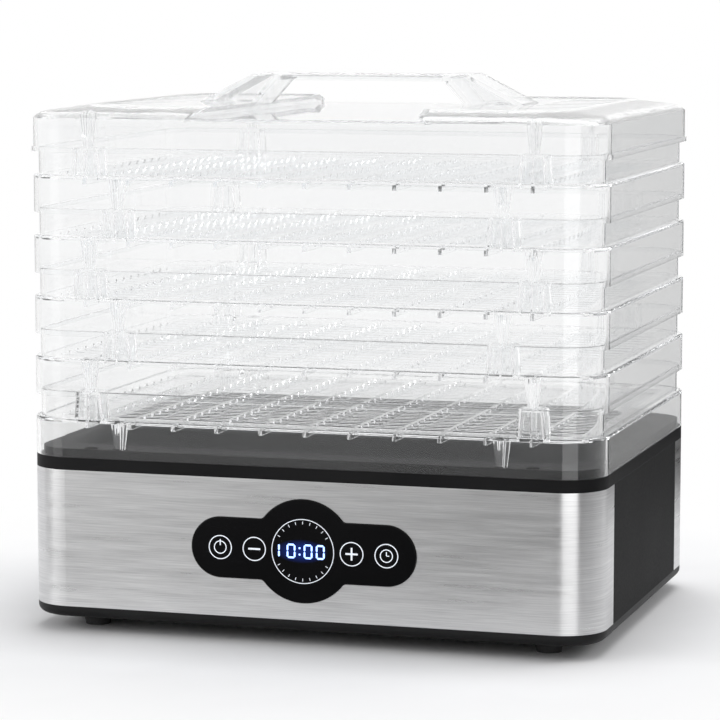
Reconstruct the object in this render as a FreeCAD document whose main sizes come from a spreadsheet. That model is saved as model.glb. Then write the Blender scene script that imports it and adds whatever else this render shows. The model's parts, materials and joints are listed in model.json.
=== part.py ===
"""Food dehydrator with five stacking trays, a clear lid and a fan-heated base.

Millimetres. X runs across the front, Y runs to the back, Z is up.
The origin is on the surface that the feet stand on, under the middle of the body.
"""
import FreeCAD
import Part
import Sketcher
import math
import os
import re

from FreeCAD import Placement, Rotation, Vector

# ---------------------------------------------------------------- driving sizes

SIZES = {
    # The body's outline in plan, which the base, the trays and the lid share
    "body_width": 330.0,
    "body_depth": 247.0,
    "corner_radius": 25.0,
    # Heights of the base, from the table up
    "foot_height": 8.0,
    "pan_lip": 6.4,
    "steel_height": 77.4,
    "deck_band": 7.1,
    "platform_rise": 4.6,
    "hump_rise": 8.0,
    # Walls and fits
    "wall": 2.5,
    "clear_wall": 2.0,
    "steel_sheet": 0.8,
    "fit_gap": 0.2,
    "seat_gap": 0.2,
    # Bottom pan
    "pan_floor": 2.4,
    "pan_edge_radius": 4.5,
    "upstand_height": 12.0,
    "intake_slot_length": 108.0,
    "intake_slot_width": 3.6,
    "intake_slot_pitch": 8.0,
    "intake_field_gap": 26.0,
    "intake_slot_count": 6,
    # Feet
    "foot_radius": 8.0,
    "foot_taper": 1.0,
    "foot_inset_x": 33.0,
    "foot_inset_y": 28.0,
    "foot_pad": 3.0,
    # Steel wraps and side panels
    "steel_return": 40.0,
    "side_panel_thickness": 3.0,
    "side_flange": 10.0,
    # Deck
    "platform_inset": 4.0,
    "hump_inset_x": 10.0,
    "hump_inset_y": 24.0,
    "hump_run": 21.0,
    "hump_corner": 24.0,
    "socket_clearance": 1.4,
    "boss_radius": 5.5,
    "deck_boss_x": 80.0,
    "deck_boss_y": 107.0,
    "deck_boss_foot": 20.0,
    # Air outlet, duct and its liner
    "outlet_radius": 58.0,
    "grille_flange": 8.0,
    "grille_spigot": 1.6,
    "grille_thickness": 1.4,
    "grille_bar": 2.0,
    "grille_ring_pitch": 9.0,
    "grille_hub_radius": 12.0,
    "grille_spokes": 6,
    "duct_radius": 54.0,
    "duct_wall": 2.2,
    "duct_bottom": 50.0,
    "duct_flange": 12.0,
    "liner_bottom": 72.0,
    "liner_height": 30.0,
    "liner_sheet": 0.6,
    "duct_ledge": 3.0,
    # Heater
    "mica_height": 14.0,
    "mica_sheet": 1.2,
    "fuse_radius": 2.0,
    "thermostat_radius": 6.3,
    "thermostat_length": 3.5,
    "thermostat_cap_radius": 4.9,
    "thermostat_cap_length": 5.6,
    "thermostat_offset": 22.0,
    "sensor_length": 12.0,
    "heater_strand_radius": 1.6,
    "heater_turn_gap": 6.5,
    "heater_inner_radius": 14.0,
    # Fan and motor, on one vertical shaft
    "shaft_radius": 2.5,
    "shaft_bottom": 13.0,
    "shaft_chamfer": 0.5,
    "shaft_top": 68.5,
    "bearing_play": 0.05,
    "bearing_radius": 5.0,
    "bearing_height": 6.0,
    "hub_radius": 11.0,
    "hub_bottom": 55.0,
    "hub_height": 12.0,
    "blade_reach": 50.0,
    "blade_chord": 24.0,
    "blade_angle": 28.0,
    "blade_thickness": 1.6,
    "blade_count": 7,
    "stack_bottom": 24.0,
    "stack_height": 16.0,
    "stack_width": 60.0,
    "stack_front": 22.0,
    "stack_back": 45.0,
    "stack_bore": 13.5,
    "rotor_gap": 0.5,
    "coil_window_front": 18.0,
    "coil_window_width": 36.0,
    "coil_leg": 8.0,
    "bobbin_length": 27.0,
    "bobbin_wall": 1.2,
    "winding_depth": 4.0,
    "bracket_sheet": 1.5,
    "bracket_width": 18.0,
    "bracket_rise": 6.0,
    "motor_screw_x": 25.0,
    # Screws
    "screw_radius": 1.6,
    "screw_head_radius": 3.6,
    "screw_head_height": 2.2,
    "screw_clearance": 0.25,
    "thread_clearance": 0.05,
    "screw_bite": 8.0,
    "small_screw_bite": 6.4,
    "screw_recess": 4.0,
    "small_screw": 0.6,
    # Control panel and its board
    "panel_length": 129.6,
    "panel_height": 34.2,
    "panel_disc_radius": 29.0,
    "panel_z": 53.0,
    "panel_thickness": 0.9,
    "panel_bevel": 0.5,
    "panel_rim": 3.0,
    "panel_insert": 1.6,
    "panel_junction": 3.0,
    "key_inner_x": 28.0,
    "key_outer_x": 47.8,
    "key_pad_radius": 4.5,
    "display_width": 31.0,
    "display_height": 13.0,
    "display_depth": 6.0,
    "board_sheet": 1.6,
    "control_board_length": 112.0,
    "control_board_height": 32.0,
    "control_screw_x": 37.9,
    "control_screw_drop": 12.0,
    "standoff_length": 3.0,
    "board_bracket_depth": 22.0,
    # Power board
    "power_board_x": -92.0,
    "power_board_y": 72.0,
    "power_board_length": 66.0,
    "power_board_width": 52.0,
    "power_boss_height": 6.0,
    "power_screw_inset": 5.0,
    "component_rounding": 1.0,
    "relay_length": 19.0,
    "relay_width": 15.0,
    "relay_height": 15.0,
    "capacitor_length": 18.0,
    "capacitor_width": 8.0,
    "capacitor_height": 14.0,
    "transformer_length": 26.0,
    "transformer_width": 22.0,
    "transformer_height": 20.0,
    "terminal_length": 24.0,
    "terminal_width": 10.0,
    "terminal_height": 12.0,
    # Cord entry
    "gland_x": 100.0,
    "gland_z": 34.0,
    "gland_bore": 3.6,
    "gland_barrel": 6.6,
    "gland_flange": 9.0,
    "gland_flange_thickness": 1.0,
    "gland_length": 12.0,
    # Trays
    "tray_count": 5,
    "tray_pitch": 34.0,
    "skirt_height": 21.5,
    "tray_step": 3.0,
    "rim_overlap": 2.8,
    "border_sheet": 2.2,
    "border_width": 9.0,
    "slat_pitch": 12.3,
    "slat_width": 3.0,
    "slat_height": 2.4,
    "rib_pitch": 25.5,
    "rib_width": 2.2,
    "rib_height": 5.0,
    # Posts under each tray and the pedestals that they stand on
    "post_inner_x": 110.0,
    "post_outer_x": 127.0,
    "post_inset": 8.6,
    "post_top_width": 9.6,
    "post_foot_width": 5.4,
    "pedestal_top_width": 14.7,
    "pedestal_foot_width": 17.2,
    "pedestal_depth": 11.5,
    "pedestal_wall": 1.6,
    "pedestal_corner": 1.2,
    "pedestal_rib": 1.2,
    "skirt_rounding": 1.2,
    "rim_rounding": 0.6,
    # Lid
    "lid_wall_height": 18.6,
    "lid_lip": 1.0,
    "lid_lip_height": 2.6,
    "crown_rise": 6.2,
    "crown_run": 30.0,
    "trough_rise": 1.2,
    "handle_rise": 17.0,
    "handle_depth": 34.0,
    "handle_bar": 4.2,
    "handle_top_half": 63.0,
    "handle_foot_half": 101.0,
    "grip_top_half": 50.0,
    "grip_foot_half": 66.0,
    "handle_rounding": 2.0,
    "vent_length": 30.0,
    "vent_width": 4.0,
    "vent_pitch": 20.0,
    "vent_x": 119.0,
    "vent_count": 7,
}

# Places and sizes that follow from the driving sizes
WORKED_OUT = {
    "half_width": "body_width / 2",
    "half_depth": "body_depth / 2",
    "pan_top": "foot_height + pan_floor",
    "steel_bottom": "foot_height + pan_lip",
    "steel_top": "steel_bottom + steel_height",
    "ledge": "steel_top + deck_band",
    "platform": "ledge + platform_rise",
    "plateau": "platform + hump_rise",
    "fit_inset": "side_panel_thickness + fit_gap",
    "upstand_top": "steel_bottom + upstand_height",
    "downstand_bottom": "steel_top - upstand_height",
    "foot_x": "half_width - foot_inset_x",
    "foot_y": "half_depth - foot_inset_y",
    "seam_y": "half_depth - steel_return",
    "pilot_radius": "screw_radius + thread_clearance",
    "hole_radius": "screw_radius + screw_clearance",
    "head_hole_radius": "screw_head_radius + screw_clearance",
    "duct_top": "plateau - wall",
    "duct_outer": "duct_radius + duct_wall",
    "liner_radius": "duct_radius - fit_gap",
    "mica_half": "liner_radius - liner_sheet - fit_gap",
    "stack_top": "stack_bottom + stack_height",
    "upper_bridge": "stack_top + bracket_rise",
    "lower_bridge": "stack_bottom - bracket_rise - bracket_sheet",
    "leg_middle": "stack_back - coil_leg / 2",
    "panel_back": "half_depth - panel_insert - fit_gap",
    "board_front": "panel_back - display_depth",
    "bracket_front": "board_front - board_sheet - standoff_length",
    "power_board_z": "pan_top + power_boss_height",
    "power_top": "power_board_z + board_sheet",
    "stack_base": "ledge + seat_gap",
    "tray_height": "tray_pitch + rim_overlap",
    "post_foot": "rim_overlap + seat_gap",
    "post_y": "half_depth - post_inset",
    "rib_bottom": "skirt_height - rib_height",
    "inner_inset": "tray_step + clear_wall",
    "grid_inset": "inner_inset + border_width",
    "grid_half_width": "half_width - grid_inset",
    "grid_half_depth": "half_depth - grid_inset",
    "slat_count": "2 * floor(grid_half_depth / slat_pitch) + 1",
    "rib_count": "2 * floor(grid_half_width / rib_pitch) + 1",
    "pedestal_y": "half_depth - inner_inset - pedestal_depth / 2",
    "lid_base": "stack_base + tray_count * tray_pitch",
    "lid_shoulder": "lid_base + lid_wall_height",
    "duct_boss_radius": "boss_radius - wall / 4",
    "slope_wall": "1.35 * clear_wall",
    "crown": "lid_shoulder + crown_rise",
    "trough": "lid_shoulder + trough_rise",
    "handle_top": "crown + handle_rise",
    "handle_under": "handle_top - handle_bar",
}

doc = FreeCAD.newDocument("food_dehydrator")
sheet = doc.addObject("Spreadsheet::Sheet", "Size")
for row, (alias, amount) in enumerate(SIZES.items(), start=1):
    sheet.set(f"A{row}", alias)
    sheet.set(f"B{row}", str(amount))
    sheet.setAlias(f"B{row}", alias)
doc.recompute()

subparts = []


def formula(text):
    """Write a formula of named sizes as an expression on the sheet's cells."""
    def cell(match):
        word = match.group()
        if word in WORKED_OUT:
            return f"({formula(WORKED_OUT[word])})"
        return f"Size.{word}" if word in SIZES else word
    return re.sub(r"[A-Za-z_]\w*", cell, str(text))


def number(text):
    """The present value of a formula of named sizes."""
    return float(sheet.evalExpression(formula(text)))


def bind(item, **sizes):
    """Tie properties of an object to formulas."""
    for name, text in sizes.items():
        item.setExpression(name, formula(text))
    return item


def place(item, x, y, z, rotation=Rotation()):
    """Tie an object's place to formulas, with a fixed turn."""
    item.Placement = Placement(Vector(number(x), number(y), number(z)), rotation)
    for axis, text in zip("xyz", (x, y, z)):
        item.setExpression(f"Placement.Base.{axis}", formula(text))
    return item


def keep(item, label):
    """Name a finished sub-part and put it on the list to export."""
    item.Label = label
    subparts.append(item)
    return item


# ---------------------------------------------------------------- part design tools

# Lengths that differ by less than this are taken as one
TOUCH = 0.01
# How many steps a swelling or domed surface is drawn in
LOFT_STEPS = 4
UP = Rotation()
DOWN = Rotation(Vector(1, 0, 0), 180)
BACK = Rotation(Vector(1, 0, 0), -90)
RIGHT = Rotation(Vector(0, 1, 0), 90)


def new_body(name):
    return doc.addObject("PartDesign::Body", name)


def origin_feature(body, role):
    """A body's own origin plane or axis."""
    return next(item for item in body.Origin.OriginFeatures if item.Role == role)


def new_sketch(body, name, role="XY_Plane", x="0", y="0", z="0"):
    """A sketch on one of the body's origin planes, shifted in the plane's own axes."""
    drawing = body.newObject("Sketcher::SketchObject", name)
    drawing.AttachmentSupport = [(origin_feature(body, role), "")]
    drawing.MapMode = "FlatFace"
    shift = Vector(number(x), number(y), number(z))
    drawing.AttachmentOffset = Placement(shift, Rotation())
    for axis, text in zip("xyz", (x, y, z)):
        drawing.setExpression(f"AttachmentOffset.Base.{axis}", formula(text))
    return drawing


def dimension(drawing, kind, *references, size):
    """Add a dimension to a sketch and tie it to a formula."""
    index = drawing.addConstraint(Sketcher.Constraint(kind, *references, number(size)))
    drawing.setExpression(f"Constraints[{index}]", formula(size))


def rounded_rectangle(drawing, width, depth, radius):
    """Draw a rectangle with round corners about the sketch's origin."""
    half_x, half_y, bend = number(width) / 2, number(depth) / 2, number(radius)
    flat_x, flat_y = half_x - bend, half_y - bend
    corners = [(1, -1), (1, 1), (-1, 1), (-1, -1)]
    sides = [
        ((-flat_x, -half_y), (flat_x, -half_y)),
        ((half_x, -flat_y), (half_x, flat_y)),
        ((flat_x, half_y), (-flat_x, half_y)),
        ((-half_x, flat_y), (-half_x, -flat_y)),
    ]
    lines = []
    arcs = []
    for turn, (side, corner) in enumerate(zip(sides, corners)):
        start, end = (Vector(*point, 0) for point in side)
        lines.append(drawing.addGeometry(Part.LineSegment(start, end)))
        centre = Vector(corner[0] * flat_x, corner[1] * flat_y, 0)
        circle = Part.Circle(centre, Vector(0, 0, 1), bend)
        first = math.radians(90 * turn - 90)
        arcs.append(drawing.addGeometry(Part.ArcOfCircle(circle, first, first + math.pi / 2)))
    for turn in range(4):
        following = lines[(turn + 1) % 4]
        drawing.addConstraint(Sketcher.Constraint("Tangent", lines[turn], 2, arcs[turn], 1))
        drawing.addConstraint(Sketcher.Constraint("Tangent", arcs[turn], 2, following, 1))
    for turn in (0, 2):
        drawing.addConstraint(Sketcher.Constraint("Horizontal", lines[turn]))
        drawing.addConstraint(Sketcher.Constraint("Vertical", lines[turn + 1]))
    for turn in (1, 2, 3):
        drawing.addConstraint(Sketcher.Constraint("Equal", arcs[0], arcs[turn]))
    dimension(drawing, "Radius", arcs[0], size=radius)
    dimension(drawing, "DistanceX", lines[3], 1, lines[1], 1, size=width)
    dimension(drawing, "DistanceY", lines[0], 1, lines[2], 1, size=depth)
    dimension(drawing, "DistanceX", -1, 1, lines[1], 1, size=f"({width}) / 2")
    dimension(drawing, "DistanceY", -1, 1, lines[2], 1, size=f"({depth}) / 2")


def polygon(drawing, corners):
    """Draw a closed polygon whose corners are pairs of formulas."""
    points = [Vector(number(x), number(y), 0) for x, y in corners]
    count = len(points)
    lines = []
    for index in range(count):
        segment = Part.LineSegment(points[index], points[(index + 1) % count])
        lines.append(drawing.addGeometry(segment))
    for index in range(count):
        following = lines[(index + 1) % count]
        drawing.addConstraint(Sketcher.Constraint("Coincident", lines[index], 2, following, 1))
    for line, (x, y) in zip(lines, corners):
        dimension(drawing, "DistanceX", -1, 1, line, 1, size=x)
        dimension(drawing, "DistanceY", -1, 1, line, 1, size=y)


def circle(drawing, radius):
    """Draw a circle about the sketch's origin."""
    edge = drawing.addGeometry(Part.Circle(Vector(0, 0, 0), Vector(0, 0, 1), number(radius)))
    drawing.addConstraint(Sketcher.Constraint("Coincident", edge, 3, -1, 1))
    dimension(drawing, "Radius", edge, size=radius)


def pad(body, name, drawing, length, both_ways=False):
    feature = body.newObject("PartDesign::Pad", name)
    feature.Profile = drawing
    feature.Midplane = both_ways
    return bind(feature, Length=length)


def pocket(body, name, drawing, length, both_ways=False):
    """Cut along the sketch's normal, upwards from a level sketch."""
    feature = body.newObject("PartDesign::Pocket", name)
    feature.Profile = drawing
    feature.Midplane = both_ways
    feature.Reversed = not both_ways
    return bind(feature, Length=length)


def outline(inset):
    """The body's outline in plan, drawn in by an inset."""
    return (f"body_width - 2 * ({inset})", f"body_depth - 2 * ({inset})",
            f"corner_radius - ({inset})")


def slab(body, name, low, high, inset="0", hollow=None, tool=pad):
    """Pad or cut the body's outline between two heights, with a hollow middle if asked."""
    drawing = new_sketch(body, f"{name}_outline", z=low)
    rounded_rectangle(drawing, *outline(inset))
    if hollow is not None:
        rounded_rectangle(drawing, *outline(hollow))
    return tool(body, name, drawing, f"{high} - ({low})")


def block(body, name, centre, low, size, kind="Additive", rotation=UP):
    """A box centred on a point in plan and standing on a height."""
    feature = body.newObject(f"PartDesign::{kind}Box", name)
    bind(feature, Length=size[0], Width=size[1], Height=size[2])
    return place(feature, f"{centre[0]} - ({size[0]}) / 2", f"{centre[1]} - ({size[1]}) / 2",
                 low, rotation)


def rod(body, name, base, radius, length, kind="Additive", rotation=UP):
    """A cylinder that starts at a point."""
    feature = body.newObject(f"PartDesign::{kind}Cylinder", name)
    bind(feature, Radius=radius, Height=length)
    return place(feature, *base, rotation)


def cone(body, name, base, foot_radius, top_radius, length, kind="Additive"):
    feature = body.newObject(f"PartDesign::{kind}Cone", name)
    bind(feature, Radius1=foot_radius, Radius2=top_radius, Height=length)
    return place(feature, *base)


def loft(body, name, drawings, kind="Additive", ruled=True):
    feature = body.newObject(f"PartDesign::{kind}Loft", name)
    feature.Profile = drawings[0]
    feature.Sections = drawings[1:]
    feature.Ruled = ruled
    return feature


def row(body, name, feature, role, spacing, count):
    """Repeat a feature along one of the body's axes."""
    pattern = body.newObject("PartDesign::LinearPattern", name)
    pattern.Originals = [feature]
    pattern.Direction = (origin_feature(body, role), [""])
    bind(pattern, Length=f"({spacing}) * ({count} - 1)", Occurrences=count)
    body.Tip = pattern
    return pattern


def wheel(body, name, feature, count):
    """Repeat a feature round the body's Z axis."""
    pattern = body.newObject("PartDesign::PolarPattern", name)
    pattern.Originals = [feature]
    pattern.Axis = (origin_feature(body, "Z_Axis"), [""])
    pattern.Angle = 360
    bind(pattern, Occurrences=count)
    body.Tip = pattern
    return pattern


def round_edges(body, name, radius, chosen, kind="Fillet"):
    """Fillet or chamfer the edges of the body so far that pass a test."""
    doc.recompute()
    base = body.Tip
    edges = [f"Edge{index}" for index, edge in enumerate(base.Shape.Edges, start=1)
             if chosen(edge)]
    feature = body.newObject(f"PartDesign::{kind}", name)
    feature.Base = (base, edges)
    size = "Radius" if kind == "Fillet" else "Size"
    return bind(feature, **{size: radius})


def merge_faces_last(body):
    """Leave the merging of a body's level faces to its last feature, which builds faster."""
    for feature in body.Group[:-1]:
        if hasattr(feature, "Refine"):
            feature.Refine = False


def lies_at(axis, text):
    """A test for edges that lie wholly at one coordinate."""
    level = number(text)
    index = "XYZ".index(axis)

    def chosen(edge):
        box = edge.BoundBox
        low = (box.XMin, box.YMin, box.ZMin)[index]
        high = (box.XMax, box.YMax, box.ZMax)[index]
        return abs(low - level) < TOUCH and abs(high - level) < TOUCH
    return chosen


# ---------------------------------------------------------------- part workbench tools

def plain_cylinder(name, base, radius, length, rotation=UP):
    item = bind(doc.addObject("Part::Cylinder", name), Radius=radius, Height=length)
    return place(item, *base, rotation)


def plain_box(name, centre, low, size):
    item = doc.addObject("Part::Box", name)
    bind(item, Length=size[0], Width=size[1], Height=size[2])
    return place(item, f"{centre[0]} - ({size[0]}) / 2", f"{centre[1]} - ({size[1]}) / 2", low)


def fuse(name, items):
    result = doc.addObject("Part::MultiFuse", name)
    result.Shapes = items
    return result


def cut(name, base, tool):
    result = doc.addObject("Part::Cut", name)
    result.Base = base
    result.Tool = tool
    return result


def group(label, items):
    """Several like pieces that share one node."""
    result = doc.addObject("Part::Compound", label)
    result.Links = items
    return keep(result, label)


def screw(name, seat, reach, direction=UP, scale="1"):
    """A pan-head screw whose head bears on a point and whose shank goes on from it."""
    heading = direction.multVec(Vector(0, 0, 1))
    head_height = f"screw_head_height * {scale}"
    start = [f"{text} - ({head_height}) * ({round(way)})" for text, way in zip(seat, heading)]
    head = plain_cylinder(f"{name}_head", start, f"screw_head_radius * {scale}", head_height,
                          direction)
    shank = plain_cylinder(f"{name}_shank", seat, f"screw_radius * {scale}", reach, direction)
    return fuse(name, [head, shank])


def corners(x, y):
    """The four places that mirror a point in both ways, with a name for each."""
    return [(f"{end}_{side}", f"{sign_x}({x})", f"{sign_y}({y})")
            for end, sign_y in (("front", "-"), ("rear", ""))
            for side, sign_x in (("left", "-"), ("right", ""))]


def along_outline(inset, height):
    """A test for edges that run round the inset outline at one height."""
    level = lies_at("Z", height)
    width, depth, bend = (number(text) for text in outline(inset))

    def chosen(edge):
        if not level(edge):
            return False
        middle = edge.valueAt((edge.FirstParameter + edge.LastParameter) / 2)
        out_x = abs(middle.x) - (width / 2 - bend)
        out_y = abs(middle.y) - (depth / 2 - bend)
        reach = math.hypot(max(out_x, 0), max(out_y, 0)) + min(max(out_x, out_y), 0)
        return abs(reach - bend) < TOUCH
    return chosen


def tube(body, name, low, outer, inner, height):
    """A ring about the body's Z axis."""
    drawing = new_sketch(body, f"{name}_rings", z=low)
    circle(drawing, outer)
    circle(drawing, inner)
    return pad(body, name, drawing, height)


# ---------------------------------------------------------------- base: pan and feet

FEET = corners("foot_x", "foot_y")
DECK_BOSSES = corners("deck_boss_x", "deck_boss_y")
POWER_BOSSES = [
    (name, f"power_board_x + ({x})", f"power_board_y + ({y})")
    for name, x, y in corners("power_board_length / 2 - power_screw_inset",
                              "power_board_width / 2 - power_screw_inset")
]
MOTOR_SCREWS = [("left", "-motor_screw_x", "0"), ("right", "motor_screw_x", "0")]


def boss(body, name, x, y, top, hole):
    """A round boss on the pan's floor with a hole down to the pan's underside."""
    rod(body, name, (x, y, "foot_height"), "boss_radius", f"{top} - foot_height")
    rod(body, f"{name}_hole", (x, y, "foot_height"), hole, f"{top} - foot_height",
        "Subtractive")


def bottom_pan():
    pan = new_body("bottom_pan")
    slab(pan, "pan_base", "foot_height", "steel_bottom")
    round_edges(pan, "pan_edge", "pan_edge_radius", lies_at("Z", "foot_height"))
    slab(pan, "pan_upstand", "steel_bottom", "upstand_top", inset="fit_inset")
    slab(pan, "pan_hollow", "pan_top", "upstand_top", inset="fit_inset + wall", tool=pocket)
    field = "(intake_slot_count - 1) * intake_slot_pitch"
    for side, first in (("front", f"-intake_field_gap - {field}"), ("rear", "intake_field_gap")):
        slot = block(pan, f"intake_slot_{side}", ("0", first), "foot_height",
                     ("intake_slot_length", "intake_slot_width", "pan_floor"), "Subtractive")
        row(pan, f"intake_{side}", slot, "Y_Axis", "intake_slot_pitch", "intake_slot_count")
    for name, x, y in FEET:
        boss(pan, f"foot_boss_{name}", x, y, "foot_height + screw_bite", "pilot_radius")
    for name, x, y in MOTOR_SCREWS:
        boss(pan, f"motor_boss_{name}", x, y, "stack_bottom - bracket_sheet", "pilot_radius")
    for name, x, y in POWER_BOSSES:
        boss(pan, f"power_boss_{name}", x, y, "power_board_z", "pilot_radius * small_screw")
    for name, x, y in DECK_BOSSES:
        boss(pan, f"deck_boss_{name}", x, y, "deck_boss_foot", "hole_radius")
        rod(pan, f"deck_screw_recess_{name}", (x, y, "foot_height"), "head_hole_radius",
            "screw_recess", "Subtractive")
    merge_faces_last(pan)
    return keep(pan, "bottom_pan")


def foot(name, x, y):
    item = new_body(f"foot_{name}")
    cone(item, f"foot_cone_{name}", (x, y, "0"), "foot_radius - foot_taper", "foot_radius",
         "foot_height")
    rod(item, f"foot_recess_{name}", (x, y, "0"), "head_hole_radius",
        "foot_height - foot_pad", "Subtractive")
    rod(item, f"foot_hole_{name}", (x, y, "0"), "hole_radius", "foot_height", "Subtractive")
    return keep(item, f"foot_{name}")


# ---------------------------------------------------------------- base: steel and side panels

def panel_shape(body, name, inset, front, depth, kind="Additive"):
    """The control panel's outline, a bar with round ends over a disc, along Y."""
    half_bar = "(panel_length - panel_height) / 2"
    bar_height = f"panel_height - 2 * ({inset})"
    block(body, f"{name}_bar", ("0", f"{front} + ({depth}) / 2"),
          f"panel_z - ({bar_height}) / 2", (f"2 * {half_bar}", depth, bar_height), kind)
    for side, x in (("left", f"-{half_bar}"), ("right", half_bar)):
        rod(body, f"{name}_{side}_end", (x, front, "panel_z"), f"({bar_height}) / 2", depth,
            kind, BACK)
    rod(body, f"{name}_disc", ("0", front, "panel_z"), f"panel_disc_radius - ({inset})", depth,
        kind, BACK)


def steel_wrap(label, side):
    """One of the two sheet-steel U shapes, on the front or the back of the base."""
    wrap = new_body(label)
    slab(wrap, f"{label}_band", "steel_bottom", "steel_top", hollow="steel_sheet")
    block(wrap, f"{label}_open_side", ("0", f"{side} * (seam_y - half_depth)"), "steel_bottom",
          ("body_width + wall", "body_depth", "steel_height"), "Subtractive")
    return wrap


def front_steel_wrap():
    wrap = steel_wrap("front_steel_wrap", -1)
    panel_shape(wrap, "panel_opening", "panel_rim - fit_gap", "-half_depth", "steel_sheet",
                "Subtractive")
    return keep(wrap, "front_steel_wrap")


def rear_steel_wrap():
    wrap = steel_wrap("rear_steel_wrap", 1)
    rod(wrap, "gland_opening", ("gland_x", "half_depth - steel_sheet", "gland_z"),
        "gland_barrel + fit_gap", "steel_sheet", "Subtractive", BACK)
    return keep(wrap, "rear_steel_wrap")


def side_panel(label, side):
    """A plastic panel between the wraps, with flanges that lie behind their edges."""
    panel = new_body(label)
    backing = "side_panel_thickness - steel_sheet - fit_gap"
    block(panel, f"{label}_face", (f"{side} * (half_width - side_panel_thickness / 2)", "0"),
          "steel_bottom", ("side_panel_thickness", "2 * (seam_y - fit_gap)", "steel_height"))
    inner = f"{side} * (half_width - side_panel_thickness + ({backing}) / 2)"
    block(panel, f"{label}_flanges", (inner, "0"), "steel_bottom",
          (backing, "2 * (seam_y + side_flange)", "steel_height"))
    return keep(panel, label)


def cord_gland():
    gland = new_body("cord_gland")
    rod(gland, "gland_lip", ("gland_x", "half_depth", "gland_z"), "gland_flange",
        "gland_flange_thickness", "Additive", BACK)
    inner = "half_depth - gland_length"
    rod(gland, "gland_body", ("gland_x", inner, "gland_z"), "gland_barrel", "gland_length",
        "Additive", BACK)
    rod(gland, "gland_hole", ("gland_x", inner, "gland_z"), "gland_bore",
        "gland_length + gland_flange_thickness", "Subtractive", BACK)
    return keep(gland, "cord_gland")


# ---------------------------------------------------------------- base: deck

def hump(body, name, drop):
    """The deck's raised middle, with sides that swell and flatten in an S curve."""
    drawings = []
    for step in range(LOFT_STEPS + 1):
        part = step / LOFT_STEPS
        swell = 3 * part ** 2 - 2 * part ** 3
        run = f"hump_run * {part}"
        drawing = new_sketch(body, f"{name}_section_{step}",
                             z=f"platform - ({drop}) + hump_rise * {swell}")
        rounded_rectangle(drawing, f"body_width - 2 * (hump_inset_x + {run})",
                          f"body_depth - 2 * (hump_inset_y + {run})",
                          f"hump_corner + {run} / 2")
        drawings.append(drawing)
    return loft(body, name, drawings, ruled=False)


def top_deck():
    outside = new_body("deck_outside")
    slab(outside, "deck_band", "steel_top", "ledge")
    slab(outside, "deck_downstand", "downstand_bottom", "steel_top", inset="fit_inset")
    slab(outside, "deck_platform", "ledge", "platform", inset="platform_inset")
    hump(outside, "deck_hump", "0")
    inside = new_body("deck_inside")
    slab(inside, "deck_hollow", "downstand_bottom", "platform - wall",
         inset="platform_inset + wall")
    hump(inside, "deck_hump_hollow", "wall")
    shell = cut("deck_shell", outside, inside)
    bosses = [plain_cylinder(f"deck_post_{name}", (x, y, "deck_boss_foot"), "boss_radius",
                             "platform - wall - deck_boss_foot")
              for name, x, y in DECK_BOSSES]
    whole = fuse("deck_with_posts", [shell, *bosses])
    openings = [plain_cylinder("deck_outlet", ("0", "0", "platform"), "outlet_radius",
                               "hump_rise")]
    for name, x, y in DECK_BOSSES:
        openings.append(plain_cylinder(f"deck_pilot_{name}", (x, y, "deck_boss_foot"),
                                       "pilot_radius", "2 * screw_bite"))
    for name, x, y in corners("post_inner_x", "post_y") + corners("post_outer_x", "post_y"):
        openings.append(plain_cylinder(f"deck_socket_{name}", (x, y, "stack_base + rim_overlap"),
                                       "post_foot_width / 2 + socket_clearance",
                                       "platform_rise"))
    for index, (x, y) in enumerate(duct_screw_places()):
        openings.append(plain_cylinder(f"deck_duct_hole_{index}", (x, y, "duct_top"),
                                       "hole_radius * small_screw", "wall"))
    return keep(cut("top_deck", whole, fuse("deck_openings", openings)), "top_deck")


# ---------------------------------------------------------------- air outlet and duct

def duct_screw_places():
    """Four places round the outlet, in the grille's flange."""
    reach = "(outlet_radius + grille_flange / 2) * cos(45)"
    return [(f"{sign_x}{reach}", f"{sign_y}{reach}") for sign_x in ("-", "")
            for sign_y in ("-", "")]


def outlet_grille():
    grille = new_body("outlet_grille")
    spigot = "outlet_radius - fit_gap"
    bore = f"{spigot} - grille_spigot"
    tube(grille, "grille_spigot_ring", "duct_top", spigot, bore, "wall")
    tube(grille, "grille_flange_ring", "plateau", "outlet_radius + grille_flange", bore,
         "grille_thickness")
    hub = new_sketch(grille, "grille_hub_outline", z="plateau")
    circle(hub, "grille_hub_radius")
    pad(grille, "grille_hub", hub, "grille_thickness")
    ring_count = int((number(bore) - number("grille_hub_radius")) // number("grille_ring_pitch"))
    for ring in range(1, ring_count + 1):
        radius = f"grille_hub_radius + grille_ring_pitch * {ring}"
        tube(grille, f"grille_ring_{ring}", "plateau", radius, f"{radius} - grille_bar",
             "grille_thickness")
    spoke = block(grille, "grille_spoke", (f"({bore}) / 2", "0"), "plateau",
                  (f"{bore} + grille_bar", "grille_bar", "grille_thickness"))
    wheel(grille, "grille_spoke_ring", spoke, "grille_spokes")
    for index, (x, y) in enumerate(duct_screw_places()):
        rod(grille, f"grille_screw_hole_{index}", (x, y, "plateau"),
            "hole_radius * small_screw", "grille_thickness", "Subtractive")
    return keep(grille, "outlet_grille")


def fan_duct():
    duct = new_body("fan_duct")
    tube(duct, "duct_barrel", "duct_bottom", "duct_outer", "duct_radius",
         "duct_top - duct_bottom")
    tube(duct, "duct_flange_ring", "duct_top - wall", "duct_outer + duct_flange", "duct_radius",
         "wall")
    tube(duct, "duct_ledge_ring", "liner_bottom - wall", "duct_outer - duct_wall / 2",
         "duct_radius - duct_ledge", "wall")
    for index, (x, y) in enumerate(duct_screw_places()):
        rod(duct, f"duct_boss_{index}", (x, y, "duct_top - screw_bite"), "duct_boss_radius",
            "screw_bite")
        rod(duct, f"duct_pilot_{index}", (x, y, "duct_top - screw_bite"),
            "pilot_radius * small_screw", "screw_bite", "Subtractive")
    return keep(duct, "fan_duct")


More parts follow.
